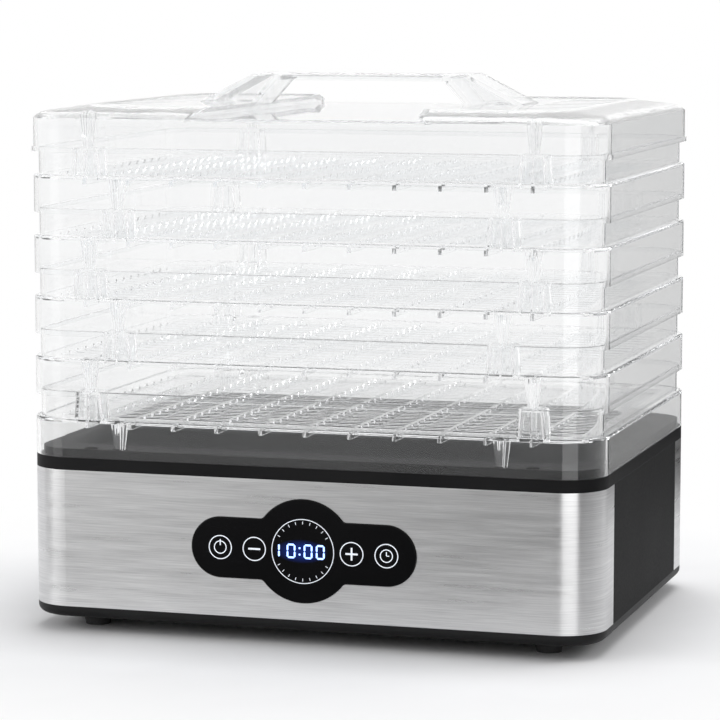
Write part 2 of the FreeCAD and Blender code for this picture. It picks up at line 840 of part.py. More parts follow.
def heat_shield():
    liner = new_body("heat_shield")
    tube(liner, "liner_band", "liner_bottom", "liner_radius", "liner_radius - liner_sheet",
         "liner_height")
    return keep(liner, "heat_shield")


# ---------------------------------------------------------------- heater

def mica_board(label, along_x):
    """One of two crossed insulating boards, slotted half-way to pass each other."""
    board = new_body(label)
    length, sheet_width = "2 * mica_half", "mica_sheet"
    slot = "mica_sheet + 2 * thread_clearance"
    size = (length, sheet_width, "mica_height") if along_x else \
        (sheet_width, length, "mica_height")
    block(board, f"{label}_sheet", ("0", "0"), "liner_bottom", size)
    slot_low = "liner_bottom + mica_height / 2" if along_x else "liner_bottom"
    block(board, f"{label}_slot", ("0", "0"), slot_low, (slot, slot, "mica_height / 2"),
          "Subtractive")
    return keep(board, label)


def heater_coil():
    """The heating strand, a flat spiral of half circles that lies on the mica boards."""
    strand = number("heater_strand_radius")
    growth = number("heater_turn_gap") / 2
    radius = number("heater_inner_radius")
    level = number("liner_bottom + mica_height + thread_clearance") + strand
    start = Vector(radius, 0, level)
    centre_x = 0.0
    side = 1
    arcs = []
    while radius + growth + strand < number("mica_half") - growth:
        middle = Vector(centre_x, side * radius, level)
        end = Vector(centre_x - side * radius, 0, level)
        arcs.append(Part.Arc(start, middle, end).toShape())
        centre_x += side * growth
        radius += growth
        side = -side
        start = end
    section = Part.Circle(Vector(number("heater_inner_radius"), 0, level), Vector(0, 1, 0), strand)
    coil = doc.addObject("Part::Feature", "heater_coil")
    coil.Shape = Part.Wire(arcs).makePipeShell([Part.Wire([section.toShape()])], True, True)
    coil.Placement = Placement()
    return keep(coil, "heater_coil")


def heater_guards():
    """The cut-outs on the mica board and the air sensor above the liner."""
    beside = "mica_sheet / 2 + thread_clearance"
    middle = "liner_bottom + mica_height / 2"
    thermal_fuse = new_body("thermal_fuse")
    rod(thermal_fuse, "fuse_case", ("hub_radius", f"{beside} + fuse_radius", middle),
        "fuse_radius", "mica_height", "Additive", RIGHT)
    keep(thermal_fuse, "thermal_fuse")
    thermostat = new_body("thermostat")
    seat = ("-thermostat_offset", beside, middle)
    rod(thermostat, "thermostat_case", seat, "thermostat_radius", "thermostat_length",
        "Additive", BACK)
    rod(thermostat, "thermostat_cap", seat, "thermostat_cap_radius", "thermostat_cap_length",
        "Additive", BACK)
    keep(thermostat, "thermostat")
    sensor = new_body("temperature_sensor")
    rod(sensor, "sensor_probe", ("duct_radius - sensor_length", "0",
                                 "liner_bottom + liner_height + wall"),
        "screw_radius", "sensor_length - thread_clearance", "Additive", RIGHT)
    keep(sensor, "temperature_sensor")


# ---------------------------------------------------------------- fan and motor

def fan_impeller():
    impeller = new_body("fan_impeller")
    rod(impeller, "impeller_hub", ("0", "0", "hub_bottom"), "hub_radius", "hub_height")
    tilt = Rotation(Vector(1, 0, 0), number("blade_angle"))
    blade = impeller.newObject("PartDesign::AdditiveBox", "impeller_blade")
    bind(blade, Length="blade_reach - hub_radius + wall", Width="blade_chord",
         Height="blade_thickness")
    middle = "hub_bottom + (hub_height - blade_thickness) / 2"
    place(blade, "hub_radius - wall", "-blade_chord / 2 * cos(blade_angle)",
          f"{middle} - blade_chord / 2 * sin(blade_angle)", tilt)
    wheel(impeller, "impeller_blades", blade, "blade_count")
    rod(impeller, "impeller_bore", ("0", "0", "hub_bottom"), "shaft_radius + thread_clearance",
        "hub_height", "Subtractive")
    return keep(impeller, "fan_impeller")


def motor_shaft():
    shaft = new_body("motor_shaft")
    rod(shaft, "shaft_rod", ("0", "0", "shaft_bottom"), "shaft_radius",
        "shaft_top - shaft_bottom")
    round_edges(shaft, "shaft_ends", "shaft_chamfer",
                lambda edge: edge.BoundBox.ZLength < TOUCH, "Chamfer")
    return keep(shaft, "motor_shaft")


def motor_rotor():
    rotor = new_body("motor_rotor")
    low, length = "stack_bottom + rotor_gap", "stack_height - 2 * rotor_gap"
    rod(rotor, "rotor_core", ("0", "0", low), "stack_bore - rotor_gap", length)
    rod(rotor, "rotor_bore", ("0", "0", low), "shaft_radius + thread_clearance", length,
        "Subtractive")
    return keep(rotor, "motor_rotor")


def motor_stator():
    stack = new_body("motor_stator")
    block(stack, "stack_block", ("0", "(stack_back - stack_front) / 2"), "stack_bottom",
          ("stack_width", "stack_front + stack_back", "stack_height"))
    window = "stack_back - coil_leg - coil_window_front"
    block(stack, "stack_window", ("0", f"coil_window_front + ({window}) / 2"), "stack_bottom",
          ("coil_window_width", window, "stack_height"), "Subtractive")
    rod(stack, "stack_bore_hole", ("0", "0", "stack_bottom"), "stack_bore", "stack_height",
        "Subtractive")
    for name, x, y in MOTOR_SCREWS:
        rod(stack, f"stack_screw_hole_{name}", (x, y, "stack_bottom"), "hole_radius",
            "stack_height", "Subtractive")
    return keep(stack, "motor_stator")


def around_leg(body, name, length, growth, kind="Additive", x="0"):
    """A box round the stator's coil leg, grown outwards from the leg."""
    block(body, name, (x, "leg_middle"), f"stack_bottom - ({growth})",
          (length, f"coil_leg + 2 * ({growth})", f"stack_height + 2 * ({growth})"), kind)


def motor_coil():
    bobbin = new_body("coil_bobbin")
    core = "fit_gap + bobbin_wall"
    around_leg(bobbin, "bobbin_core", "bobbin_length", core)
    end = "(bobbin_length - bobbin_wall) / 2"
    for side, x in (("left", f"-{end}"), ("right", end)):
        around_leg(bobbin, f"bobbin_flange_{side}", "bobbin_wall", f"{core} + winding_depth",
                   x=x)
    around_leg(bobbin, "bobbin_tunnel", "bobbin_length", "fit_gap", "Subtractive")
    keep(bobbin, "coil_bobbin")
    winding = new_body("motor_winding")
    length = "bobbin_length - 2 * bobbin_wall - fit_gap"
    around_leg(winding, "winding_bundle", length, f"{core} + winding_depth - fit_gap")
    around_leg(winding, "winding_tunnel", length, f"{core} + thread_clearance", "Subtractive")
    keep(winding, "motor_winding")


def motor_bracket(label, seat, bridge, sheet_way):
    """A strap across the stator with a raised bridge that holds a bearing."""
    strap = new_body(label)
    half = "stack_width / 2"
    step = ["stack_bore + wall", "stack_bore"]
    near = [(f"-{half}", seat), (f"-({step[0]})", seat), (f"-({step[1]})", bridge),
            (step[1], bridge), (step[0], seat), (half, seat)]
    far = [(x, f"{z} + ({sheet_way}) * bracket_sheet") for x, z in reversed(near)]
    drawing = new_sketch(strap, f"{label}_profile", "XZ_Plane")
    polygon(drawing, near + far)
    pad(strap, f"{label}_strap", drawing, "bracket_width", both_ways=True)
    low = f"{bridge} - bracket_sheet"
    rod(strap, f"{label}_bearing_seat", ("0", "0", low), "bearing_radius + thread_clearance",
        "3 * bracket_sheet", "Subtractive")
    for name, x, y in MOTOR_SCREWS:
        rod(strap, f"{label}_hole_{name}", (x, y, f"{seat} - bracket_sheet"), "hole_radius",
            "3 * bracket_sheet", "Subtractive")
    return keep(strap, label)


def bearing(label, middle):
    bush = new_body(label)
    low = f"{middle} - bearing_height / 2"
    rod(bush, f"{label}_bush", ("0", "0", low), "bearing_radius", "bearing_height")
    rod(bush, f"{label}_bore", ("0", "0", low), "shaft_radius + bearing_play",
        "bearing_height", "Subtractive")
    return keep(bush, label)


# ---------------------------------------------------------------- control panel and boards

CONTROL_SCREWS = [(name, x, f"panel_z + ({drop})")
                  for name, x, drop in corners("control_screw_x", "control_screw_drop")]


def control_panel():
    panel = new_body("control_panel")
    panel_shape(panel, "panel_face", "0", "-half_depth - panel_thickness", "panel_thickness")
    bar_edge = number("panel_height") / 2
    disc_edge = number("panel_disc_radius")
    level = number("panel_z")

    def junction(edge):
        box = edge.BoundBox
        upright = max(box.XLength, box.ZLength) < TOUCH
        at_bar = abs(abs(box.ZMin - level) - bar_edge) < TOUCH
        return upright and at_bar and abs(box.XMin) < disc_edge

    round_edges(panel, "panel_junctions", "panel_junction", junction)
    round_edges(panel, "panel_bevel_edge", "panel_bevel",
                lies_at("Y", "-half_depth - panel_thickness"), "Chamfer")
    panel_shape(panel, "panel_back", "panel_rim", "-half_depth", "panel_insert")
    return keep(panel, "control_panel")


def control_parts():
    """What stands behind the panel: display, touch pads, board and its bracket."""
    display = new_body("led_display")
    block(display, "display_case", ("0", "-panel_back + display_depth / 2"),
          "panel_z - display_height / 2", ("display_width", "display_depth", "display_height"))
    keep(display, "led_display")
    group("touch_pads", [
        plain_cylinder(f"touch_pad_{index}", (x, "-panel_back", "panel_z"), "key_pad_radius",
                       "display_depth", BACK)
        for index, x in enumerate(("-key_outer_x", "-key_inner_x", "key_inner_x",
                                   "key_outer_x"))])
    board = new_body("control_board")
    block(board, "control_board_sheet", ("0", "-board_front + board_sheet / 2"),
          "panel_z - control_board_height / 2",
          ("control_board_length", "board_sheet", "control_board_height"))
    for name, x, z in CONTROL_SCREWS:
        rod(board, f"control_board_hole_{name}", (x, "-board_front", z),
            "hole_radius * small_screw", "board_sheet", "Subtractive", BACK)
    keep(board, "control_board")
    group("control_board_screws", [
        screw(f"control_screw_{name}", (x, "-board_front", z),
              "board_sheet + standoff_length + wall", BACK, "small_screw")
        for name, x, z in CONTROL_SCREWS])
    bracket = new_body("board_bracket")
    block(bracket, "bracket_plate", ("0", "-bracket_front + wall / 2"), "pan_top",
          ("control_board_length", "wall", "panel_z + control_board_height / 2 - pan_top"))
    block(bracket, "bracket_foot", ("0", "-bracket_front + board_bracket_depth / 2"), "pan_top",
          ("control_board_length", "board_bracket_depth", "wall"))
    for name, x, z in CONTROL_SCREWS:
        rod(bracket, f"bracket_stud_{name}", (x, "-board_front + board_sheet", z),
            "key_pad_radius * small_screw", "standoff_length + wall", "Additive", BACK)
        rod(bracket, f"bracket_pilot_{name}", (x, "-board_front + board_sheet", z),
            "pilot_radius * small_screw", "standoff_length + wall", "Subtractive", BACK)
    keep(bracket, "board_bracket")


def power_component(label, x, y):
    """A component that stands on the power board, off its middle by x and y."""
    stem = label.split("_")[-1]
    item = new_body(label)
    size = (f"{stem}_length", f"{stem}_width", f"{stem}_height")
    block(item, f"{label}_case", (f"power_board_x + ({x})", f"power_board_y + ({y})"),
          "power_top", size)
    round_edges(item, f"{label}_edges", "component_rounding",
                lambda edge: edge.BoundBox.ZLength > 1)
    return keep(item, label)


def power_parts():
    board = new_body("power_board")
    block(board, "power_board_sheet", ("power_board_x", "power_board_y"), "power_board_z",
          ("power_board_length", "power_board_width", "board_sheet"))
    for name, x, y in POWER_BOSSES:
        rod(board, f"power_board_hole_{name}", (x, y, "power_board_z"),
            "hole_radius * small_screw", "board_sheet", "Subtractive")
    keep(board, "power_board")
    group("power_board_screws", [
        screw(f"power_screw_{name}", (x, y, "power_top"), "board_sheet + power_boss_height",
              DOWN, "small_screw")
        for name, x, y in POWER_BOSSES])
    gap = "wall"
    power_component("power_relay", f"relay_length / 2 + {gap}", "relay_width / 2")
    power_component("power_transformer", f"-transformer_length / 2 - {gap}", "0")
    power_component("filter_capacitor", f"capacitor_length / 2 + {gap}",
                    f"-capacitor_width / 2 - {gap}")
    power_component("power_terminal", "0", "power_board_width / 2 - terminal_width / 2")


# ---------------------------------------------------------------- trays

FRONT_POSTS = "post_inner_x"
REAR_POSTS = "post_outer_x"


def cross(body, name, x, y, z, width):
    """A plus-shaped section, whose arms are a third as thick as it is wide."""
    reach, arm = f"({width}) / 2", f"({width}) / 6"
    drawing = new_sketch(body, name, x=x, y=y, z=z)
    points = []
    for first, second in (("", ""), ("-", ""), ("-", "-"), ("", "-")):
        corner = [(f"{first}{reach}", f"{second}{arm}"), (f"{first}{arm}", f"{second}{arm}"),
                  (f"{first}{arm}", f"{second}{reach}")]
        points += corner if first == second else reversed(corner)
    polygon(drawing, points)
    return drawing


def post_places(front, rear):
    """Front posts stand at one spacing and rear posts at the other."""
    return ([(name, x, y) for name, x, y in corners(front, "post_y") if "front" in name]
            + [(name, x, y) for name, x, y in corners(rear, "post_y") if "rear" in name])


def posts(body, label, low, top, front, rear):
    """Four tapered posts with fluted sides, narrow at the foot."""
    for name, x, y in post_places(front, rear):
        foot_section = cross(body, f"{label}_foot_{name}", x, y, low, "post_foot_width")
        top_section = cross(body, f"{label}_top_{name}", x, y, top, "post_top_width")
        loft(body, f"{label}_{name}", [foot_section, top_section])


def pedestal_section(body, name, x, y, z, width, inset):
    drawing = new_sketch(body, name, x=x, y=y, z=z)
    rounded_rectangle(drawing, f"{width} - 2 * ({inset})",
                      f"pedestal_depth + clear_wall - 2 * ({inset})", "pedestal_corner")
    return drawing


def pedestal(body, name, x, y):
    """A hollow support with a web inside, open below, for a post of the tray above."""
    foot_z = "skirt_height - border_sheet"
    parts = (("shell", "0", "tray_height", "Additive"),
             ("hollow", "pedestal_wall", "tray_height - pedestal_wall", "Subtractive"))
    for part, inset, top, kind in parts:
        sections = [
            pedestal_section(body, f"pedestal_{part}_foot_{name}", x, y, foot_z,
                             "pedestal_foot_width", inset),
            pedestal_section(body, f"pedestal_{part}_top_{name}", x, y, top,
                             "pedestal_top_width", inset)]
        loft(body, f"pedestal_{part}_{name}", sections, kind)
    block(body, f"pedestal_web_{name}", (x, y), foot_z,
          ("pedestal_rib", "pedestal_depth", "tray_height - pedestal_wall / 2 - skirt_height"
           " + border_sheet"))


def tray_body():
    """The lowest tray: skirt, slatted floor, rim, posts below and pedestals above."""
    tray = new_body("tray_5")
    slab(tray, "tray_skirt", "0", "skirt_height", hollow="clear_wall")
    slab(tray, "tray_rim", "skirt_height - border_sheet", "tray_height", inset="tray_step",
         hollow="inner_inset")
    slab(tray, "tray_border", "skirt_height - border_sheet", "skirt_height",
         inset="clear_wall / 2", hollow="grid_inset")
    round_edges(tray, "skirt_edge", "skirt_rounding", along_outline("0", "skirt_height"))
    round_edges(tray, "rim_edge", "rim_rounding", along_outline("tray_step", "tray_height"))
    posts(tray, "tray_post", "post_foot", "skirt_height - border_sheet / 2", FRONT_POSTS,
          REAR_POSTS)
    for name, x, y in post_places(REAR_POSTS, FRONT_POSTS):
        inward = "" if "rear" in name else "-"
        pedestal(tray, name, x, f"{inward}(pedestal_y + clear_wall / 2)")
    slat = block(tray, "tray_slat", ("0", "-slat_pitch * (slat_count - 1) / 2"),
                 "skirt_height - slat_height",
                 ("2 * grid_half_width + clear_wall", "slat_width", "slat_height"))
    row(tray, "tray_slats", slat, "Y_Axis", "slat_pitch", "slat_count")
    rib = block(tray, "tray_rib", ("-rib_pitch * (rib_count - 1) / 2", "0"), "rib_bottom",
                ("rib_width", "body_depth - 3 * clear_wall", "rib_height"))
    row(tray, "tray_ribs", rib, "X_Axis", "rib_pitch", "rib_count")
    merge_faces_last(tray)
    place(tray, "0", "0", "stack_base")
    return keep(tray, "tray_5")


def upper_trays(lowest):
    """The other trays, each turned half round from the one below it."""
    count = int(number("tray_count"))
    for level in range(1, count):
        label = f"tray_{count - level}"
        tray = doc.addObject("Part::Feature", label)
        tray.Shape = lowest.Shape
        turn = Rotation(Vector(0, 0, 1), 180 * (level % 2))
        place(tray, "0", "0", f"stack_base + tray_pitch * {level}", turn)
        keep(tray, label)


# ---------------------------------------------------------------- lid

def crown(body, name, inset, rise):
    """The lid's roof, which leaves the wall upright and levels off in a quarter ellipse."""
    drawings = []
    for step in range(LOFT_STEPS + 1):
        angle = math.pi / 2 * step / LOFT_STEPS
        drawing = new_sketch(body, f"{name}_section_{step}",
                             z=f"lid_shoulder + ({rise}) * {math.sin(angle):.6f}")
        run = f"{inset} + crown_run * {1 - math.cos(angle):.6f}"
        rounded_rectangle(drawing, f"body_width - 2 * ({run})", f"body_depth - 2 * ({run})",
                          f"corner_radius - ({inset})")
        drawings.append(drawing)
    return loft(body, name, drawings, ruled=False)


def mirrored(corners_right):
    """A closed outline from its right half, listed from the bottom up."""
    return corners_right + [(f"-({x})", y) for x, y in reversed(corners_right)]


def lid_outside():
    body = new_body("lid_outside")
    slab(body, "lid_wall", "lid_base", "lid_shoulder")
    slab(body, "lid_rim", "lid_base", "lid_base + lid_lip_height", inset="-lid_lip")
    crown(body, "lid_crown", "0", "crown_rise")
    ramp = new_sketch(body, "handle_profile", "XZ_Plane")
    polygon(ramp, mirrored([("handle_foot_half", "crown - clear_wall"),
                            ("handle_top_half", "handle_top")]))
    pad(body, "handle_ramp", ramp, "handle_depth", both_ways=True)
    top = lies_at("Z", "handle_top")
    round_edges(body, "handle_edges", "handle_rounding",
                lambda edge: top(edge) and edge.BoundBox.XLength > 1)
    grip = new_sketch(body, "grip_profile", "XZ_Plane")
    polygon(grip, mirrored([("grip_foot_half", "trough"), ("grip_top_half", "handle_under")]))
    pocket(body, "grip_gap", grip, "body_depth + wall", both_ways=True)
    block(body, "bar_channel", ("0", "0"), "handle_under",
          ("2 * (grip_top_half - clear_wall)", "handle_depth - 2 * clear_wall",
           "handle_bar - clear_wall"), "Subtractive")
    return body


def lid_inside():
    body = new_body("lid_inside")
    slab(body, "lid_hollow", "lid_base", "lid_shoulder", inset="clear_wall")
    crown(body, "lid_crown_hollow", "clear_wall", "crown_rise - clear_wall")
    ceiling = new_sketch(body, "trough_ceiling", "XZ_Plane")
    polygon(ceiling, mirrored([("grip_foot_half + slope_wall", "trough - clear_wall"),
                               ("grip_top_half + slope_wall", "handle_under")]))
    pocket(body, "trough_wall", ceiling, "body_depth + wall", both_ways=True)
    under = "crown - 1.5 * clear_wall"
    for side in ("", "-"):
        leg = new_sketch(body, f"leg_profile{side.replace('-', '_left')}", "XZ_Plane")
        polygon(leg, [(f"{side}({x})", z) for x, z in (
            ("grip_foot_half + slope_wall", under),
            ("handle_foot_half - 3 * clear_wall", under),
            ("handle_top_half - clear_wall / 2", "handle_top - clear_wall"),
            ("grip_top_half + slope_wall", "handle_top - clear_wall"))])
        pad(body, f"leg_hollow{side.replace('-', '_left')}", leg,
            "handle_depth - 2 * clear_wall", both_ways=True)
    return body


def lid():
    outside = lid_outside()
    shell = cut("lid_shell", outside, lid_inside())
    trimmed = []
    for name, x, y in post_places(REAR_POSTS, FRONT_POSTS):
        post = new_body(f"lid_post_body_{name}")
        foot_section = cross(post, f"lid_foot_{name}", x, y, "lid_base + post_foot",
                             "post_foot_width")
        top_section = cross(post, f"lid_top_{name}", x, y, "crown", "post_top_width")
        loft(post, f"lid_post_{name}", [foot_section, top_section])
        common = doc.addObject("Part::MultiCommon", f"lid_post_trimmed_{name}")
        common.Shapes = [post, outside]
        trimmed.append(common)
    whole = fuse("lid_with_posts", [shell, *trimmed])
    vents = []
    for side in ("-", ""):
        for index in range(int(number("vent_count"))):
            y = f"vent_pitch * ({index} - (vent_count - 1) / 2)"
            vents.append(plain_box(f"vent{side.replace('-', '_left')}_{index}",
                                   (f"{side}vent_x", y), "lid_shoulder",
                                   ("vent_length", "vent_width", "crown_rise + clear_wall")))
    return keep(cut("lid", whole, fuse("lid_vents", vents)), "lid")


# ---------------------------------------------------------------- assembly

def fasteners():
    group("foot_screws", [
        screw(f"foot_screw_{name}", (x, y, "foot_height - foot_pad"), "foot_pad + screw_bite")
        for name, x, y in FEET])
    group("deck_screws", [
        screw(f"deck_screw_{name}", (x, y, "foot_height + screw_recess"),
              "deck_boss_foot - foot_height - screw_recess + screw_bite")
        for name, x, y in DECK_BOSSES])
    group("motor_screws", [
        screw(f"motor_screw_{name}", (x, y, "stack_top + bracket_sheet"),
              "stack_height + 2 * bracket_sheet + screw_bite", DOWN)
        for name, x, y in MOTOR_SCREWS])
    group("duct_screws", [
        screw(f"duct_screw_{index}", (x, y, "plateau + grille_thickness"),
              "grille_thickness + wall + small_screw_bite", DOWN, "small_screw")
        for index, (x, y) in enumerate(duct_screw_places())])


def build():
    bottom_pan()
    for name, x, y in FEET:
        foot(name, x, y)
    front_steel_wrap()
    rear_steel_wrap()
    side_panel("left_side_panel", -1)
    side_panel("right_side_panel", 1)
    cord_gland()
    top_deck()
    outlet_grille()
    fan_duct()
    heat_shield()
    mica_board("mica_board_long", True)
    mica_board("mica_board_cross", False)
    heater_coil()
    heater_guards()
    fan_impeller()
    motor_shaft()
    motor_rotor()
    motor_stator()
    motor_coil()
    motor_bracket("upper_motor_bracket", "stack_top", "upper_bridge", "1")
    motor_bracket("lower_motor_bracket", "stack_bottom", "lower_bridge + bracket_sheet", "-1")
    bearing("upper_bearing", "upper_bridge + bracket_sheet / 2")
    bearing("lower_bearing", "lower_bridge + bracket_sheet / 2")
    control_panel()
    control_parts()
    power_parts()
    fasteners()
    lowest = tray_body()
    doc.recompute()
    upper_trays(lowest)
    lid()
    doc.recompute()


def check():
    """Stop if any object failed, or a sub-part is not a sound solid."""
    faults = [f"{item.Name}: {item.State}" for item in doc.Objects
              if "Invalid" in item.State or "Error" in item.State]
    tested = []
    for item in subparts:
        shape = item.Shape
        if any(shape.isPartner(other) for other in tested):
            continue
        if shape.isNull() or not shape.isValid() or not shape.Solids:
            faults.append(f"{item.Label}: unsound shape")
        tested.append(shape)
    if faults:
        raise RuntimeError("; ".join(faults))


def export():
    os.makedirs("parts", exist_ok=True)
    for item in subparts:
        item.Shape.exportStep(os.path.join("parts", f"{item.Label}.step"))
        print(f"{item.Label}: {len(item.Shape.Solids)} solid(s), "
              f"{item.Shape.Volume / 1000:.2f} cm3")


build()
check()
export()
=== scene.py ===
"""Food dehydrator: finishes, printed marks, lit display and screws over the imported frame."""
import json
import math

import bpy
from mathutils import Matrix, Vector

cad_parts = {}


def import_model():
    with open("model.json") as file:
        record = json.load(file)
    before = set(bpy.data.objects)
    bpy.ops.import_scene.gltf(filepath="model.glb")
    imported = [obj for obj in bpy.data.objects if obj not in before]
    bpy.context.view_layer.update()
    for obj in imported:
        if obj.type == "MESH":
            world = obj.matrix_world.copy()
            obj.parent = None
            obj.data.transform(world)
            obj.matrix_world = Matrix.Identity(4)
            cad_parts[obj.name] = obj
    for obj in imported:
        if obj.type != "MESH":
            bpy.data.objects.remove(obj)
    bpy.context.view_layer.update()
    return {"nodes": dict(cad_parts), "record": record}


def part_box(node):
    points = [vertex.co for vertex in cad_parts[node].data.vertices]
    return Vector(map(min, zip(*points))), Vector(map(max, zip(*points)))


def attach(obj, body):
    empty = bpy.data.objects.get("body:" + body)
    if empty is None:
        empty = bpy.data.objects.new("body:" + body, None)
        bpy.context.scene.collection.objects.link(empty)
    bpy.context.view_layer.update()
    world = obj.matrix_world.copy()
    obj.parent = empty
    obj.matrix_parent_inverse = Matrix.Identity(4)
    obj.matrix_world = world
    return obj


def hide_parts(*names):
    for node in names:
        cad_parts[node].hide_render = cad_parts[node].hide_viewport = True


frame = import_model()
bpy.ops.object.select_all(action="DESELECT")

MM = 0.001
WHITE = (1.0, 1.0, 1.0, 1.0)

# ---------------------------------------------------------------- sizes of the added pieces

# Prints: their depth, their line and the radii of their rings
PRINT_DEPTH = 0.04 * MM
LINE = 0.55 * MM
KEY_RING = 6.75 * MM
KEY_SPACING = 19.8 * MM
DIAL_RING = 18.0 * MM
DIAL_TICKS = 24
TICK_LENGTH = 1.6 * MM
# No tick stands beside the digits, where an angle's sine is below this
TICK_GAP = 0.4
# The lit time, and a painted glow round it for the light that spreads under the panel's face
DIGIT_HEIGHT = 7.1 * MM
DIGIT_WIDTH = 4.1 * MM
DIGIT_STROKE = 1.0 * MM
DIGIT_SPACING = 7.0 * MM
COLON_GAP = 4.9 * MM
TIME_SHIFT = -1.8 * MM
TIME_SHOWN = "10:00"
PAINTED_GLOW_SHIFT = 0.9 * MM
PAINTED_GLOW_WIDTH = 22.0 * MM
PAINTED_GLOW_HEIGHT = 9.5 * MM
PAINTED_GLOW_LEVEL = 0.16
# Screws: the radius, height and dome of the head, and the radius and chamfer of the shank
SCREW_HEAD = 3.6 * MM
SCREW_HEIGHT = 2.4 * MM
SCREW_DOME = 0.7 * MM
SCREW_SHANK = 1.6 * MM
SCREW_POINT = 0.5 * MM
# A small screw is this share of a large one
SMALL_SCREW = 0.6
# The cross in a head: its arms and their half width, as shares of the head's radius, and its depth
CROSS_ARM = 0.55
CROSS_WIDTH = 0.17
CROSS_DEPTH = 1.2 * MM

# ---------------------------------------------------------------- studio values

# How many bounces a clear wall bends light for, before it lets it straight through
DEEPEST = 12.0
WORLD_LIGHT = 0.45
FLOOR_SIZE = 12.0
# Distances from the middle between which the floor fades to the backdrop's white
FADE_START = 0.18
FADE_END = 0.42
FLAG_LIFT = 2 * MM
AIM = (0.0, 0.0, 0.16)
CAMERA_PLACE = (0.5334, -1.7676, 0.3659)
CAMERA_DIP = 0.1194
CAMERA_TURN = 0.2957
SENSOR_WIDTH = 36.0
FOCAL_LENGTH = 159.96

# ---------------------------------------------------------------- node helpers


def add(tree, kind, **values):
    """A shader node with its sockets set by name, where a spaced name has underscores."""
    node = tree.nodes.new(kind)
    for name, value in values.items():
        if hasattr(node, name) and name not in node.inputs:
            setattr(node, name, value)
        else:
            node.inputs[name.replace("_", " ")].default_value = value
    return node


def join(tree, start, end):
    """Link an output to an input."""
    tree.links.new(start, end)


def either(tree, first, second):
    """The larger of two masks."""
    larger = add(tree, "ShaderNodeMath", operation="MAXIMUM")
    join(tree, first, larger.inputs[0])
    join(tree, second, larger.inputs[1])
    return larger.outputs[0]


def blend(tree, share, first, second):
    """Show a mix of two shaders, by the share of the second."""
    mix = add(tree, "ShaderNodeMixShader")
    join(tree, share, mix.inputs["Fac"])
    join(tree, first, mix.inputs[1])
    join(tree, second, mix.inputs[2])
    join(tree, mix.outputs["Shader"], tree.nodes["Material Output"].inputs["Surface"])


def new_group(name, inputs, outputs):
    """An empty shader node group. Inputs are name to (kind, default), outputs name to kind."""
    group = bpy.data.node_groups.new(name, "ShaderNodeTree")
    for label, (kind, default) in inputs.items():
        socket = group.interface.new_socket(label, in_out="INPUT", socket_type=kind)
        if default is not None:
            socket.default_value = default
    for label, kind in outputs.items():
        group.interface.new_socket(label, in_out="OUTPUT", socket_type=kind)
    entry = group.nodes.new("NodeGroupInput")
    leave = group.nodes.new("NodeGroupOutput")
    return group, entry, leave


def place_group(tree, group, **values):
    """A copy of a node group with its own values."""
    node = tree.nodes.new("ShaderNodeGroup")
    node.node_tree = group
    for name, value in values.items():
        node.inputs[name.replace("_", " ")].default_value = value
    return node


FLOAT = "NodeSocketFloat"
VECTOR = "NodeSocketVector"
# Where on a mask's way from 0 to 1 a blend starts and ends
MASK_LOW = 0.3
MASK_HIGH = 0.7


def soften_edges(group, entry, bump):
    """Catch light on the piece's edges, as their small roundings do."""
    rounded = add(group, "ShaderNodeBevel")
    join(group, entry.outputs["Edge"], rounded.inputs["Radius"])
    join(group, rounded.outputs["Normal"], bump.inputs["Normal"])


def build_brushing():
    """Long scratches along the level directions, as a mask and a normal."""
    group, entry, leave = new_group(
        "brushing",
        {"Position": (VECTOR, None), "Length": (FLOAT, 9.0), "Fineness": (FLOAT, 2600.0),
         "Depth": (FLOAT, 0.25), "Edge": (FLOAT, 0.25 * MM)},
        {"Mask": FLOAT, "Broad": FLOAT, "Normal": VECTOR})
    stretch = add(group, "ShaderNodeCombineXYZ")
    join(group, entry.outputs["Length"], stretch.inputs["X"])
    join(group, entry.outputs["Length"], stretch.inputs["Y"])
    join(group, entry.outputs["Fineness"], stretch.inputs["Z"])
    scaled = add(group, "ShaderNodeVectorMath", operation="MULTIPLY")
    join(group, entry.outputs["Position"], scaled.inputs[0])
    join(group, stretch.outputs[0], scaled.inputs[1])
    fine = add(group, "ShaderNodeTexNoise", Scale=1.0, Detail=3.0, Roughness=0.65)
    join(group, scaled.outputs[0], fine.inputs["Vector"])
    wide = add(group, "ShaderNodeVectorMath", operation="MULTIPLY")
    wide.inputs[1].default_value = (0.5, 0.5, 0.12)
    join(group, scaled.outputs[0], wide.inputs[0])
    broad = add(group, "ShaderNodeTexNoise", Scale=1.0, Detail=2.0)
    join(group, wide.outputs[0], broad.inputs["Vector"])
    bump = add(group, "ShaderNodeBump", Distance=0.02 * MM)
    soften_edges(group, entry, bump)
    join(group, entry.outputs["Depth"], bump.inputs["Strength"])
    join(group, fine.outputs["Fac"], bump.inputs["Height"])
    join(group, fine.outputs["Fac"], leave.inputs["Mask"])
    join(group, broad.outputs["Fac"], leave.inputs["Broad"])
    join(group, bump.outputs["Normal"], leave.inputs["Normal"])
    return group


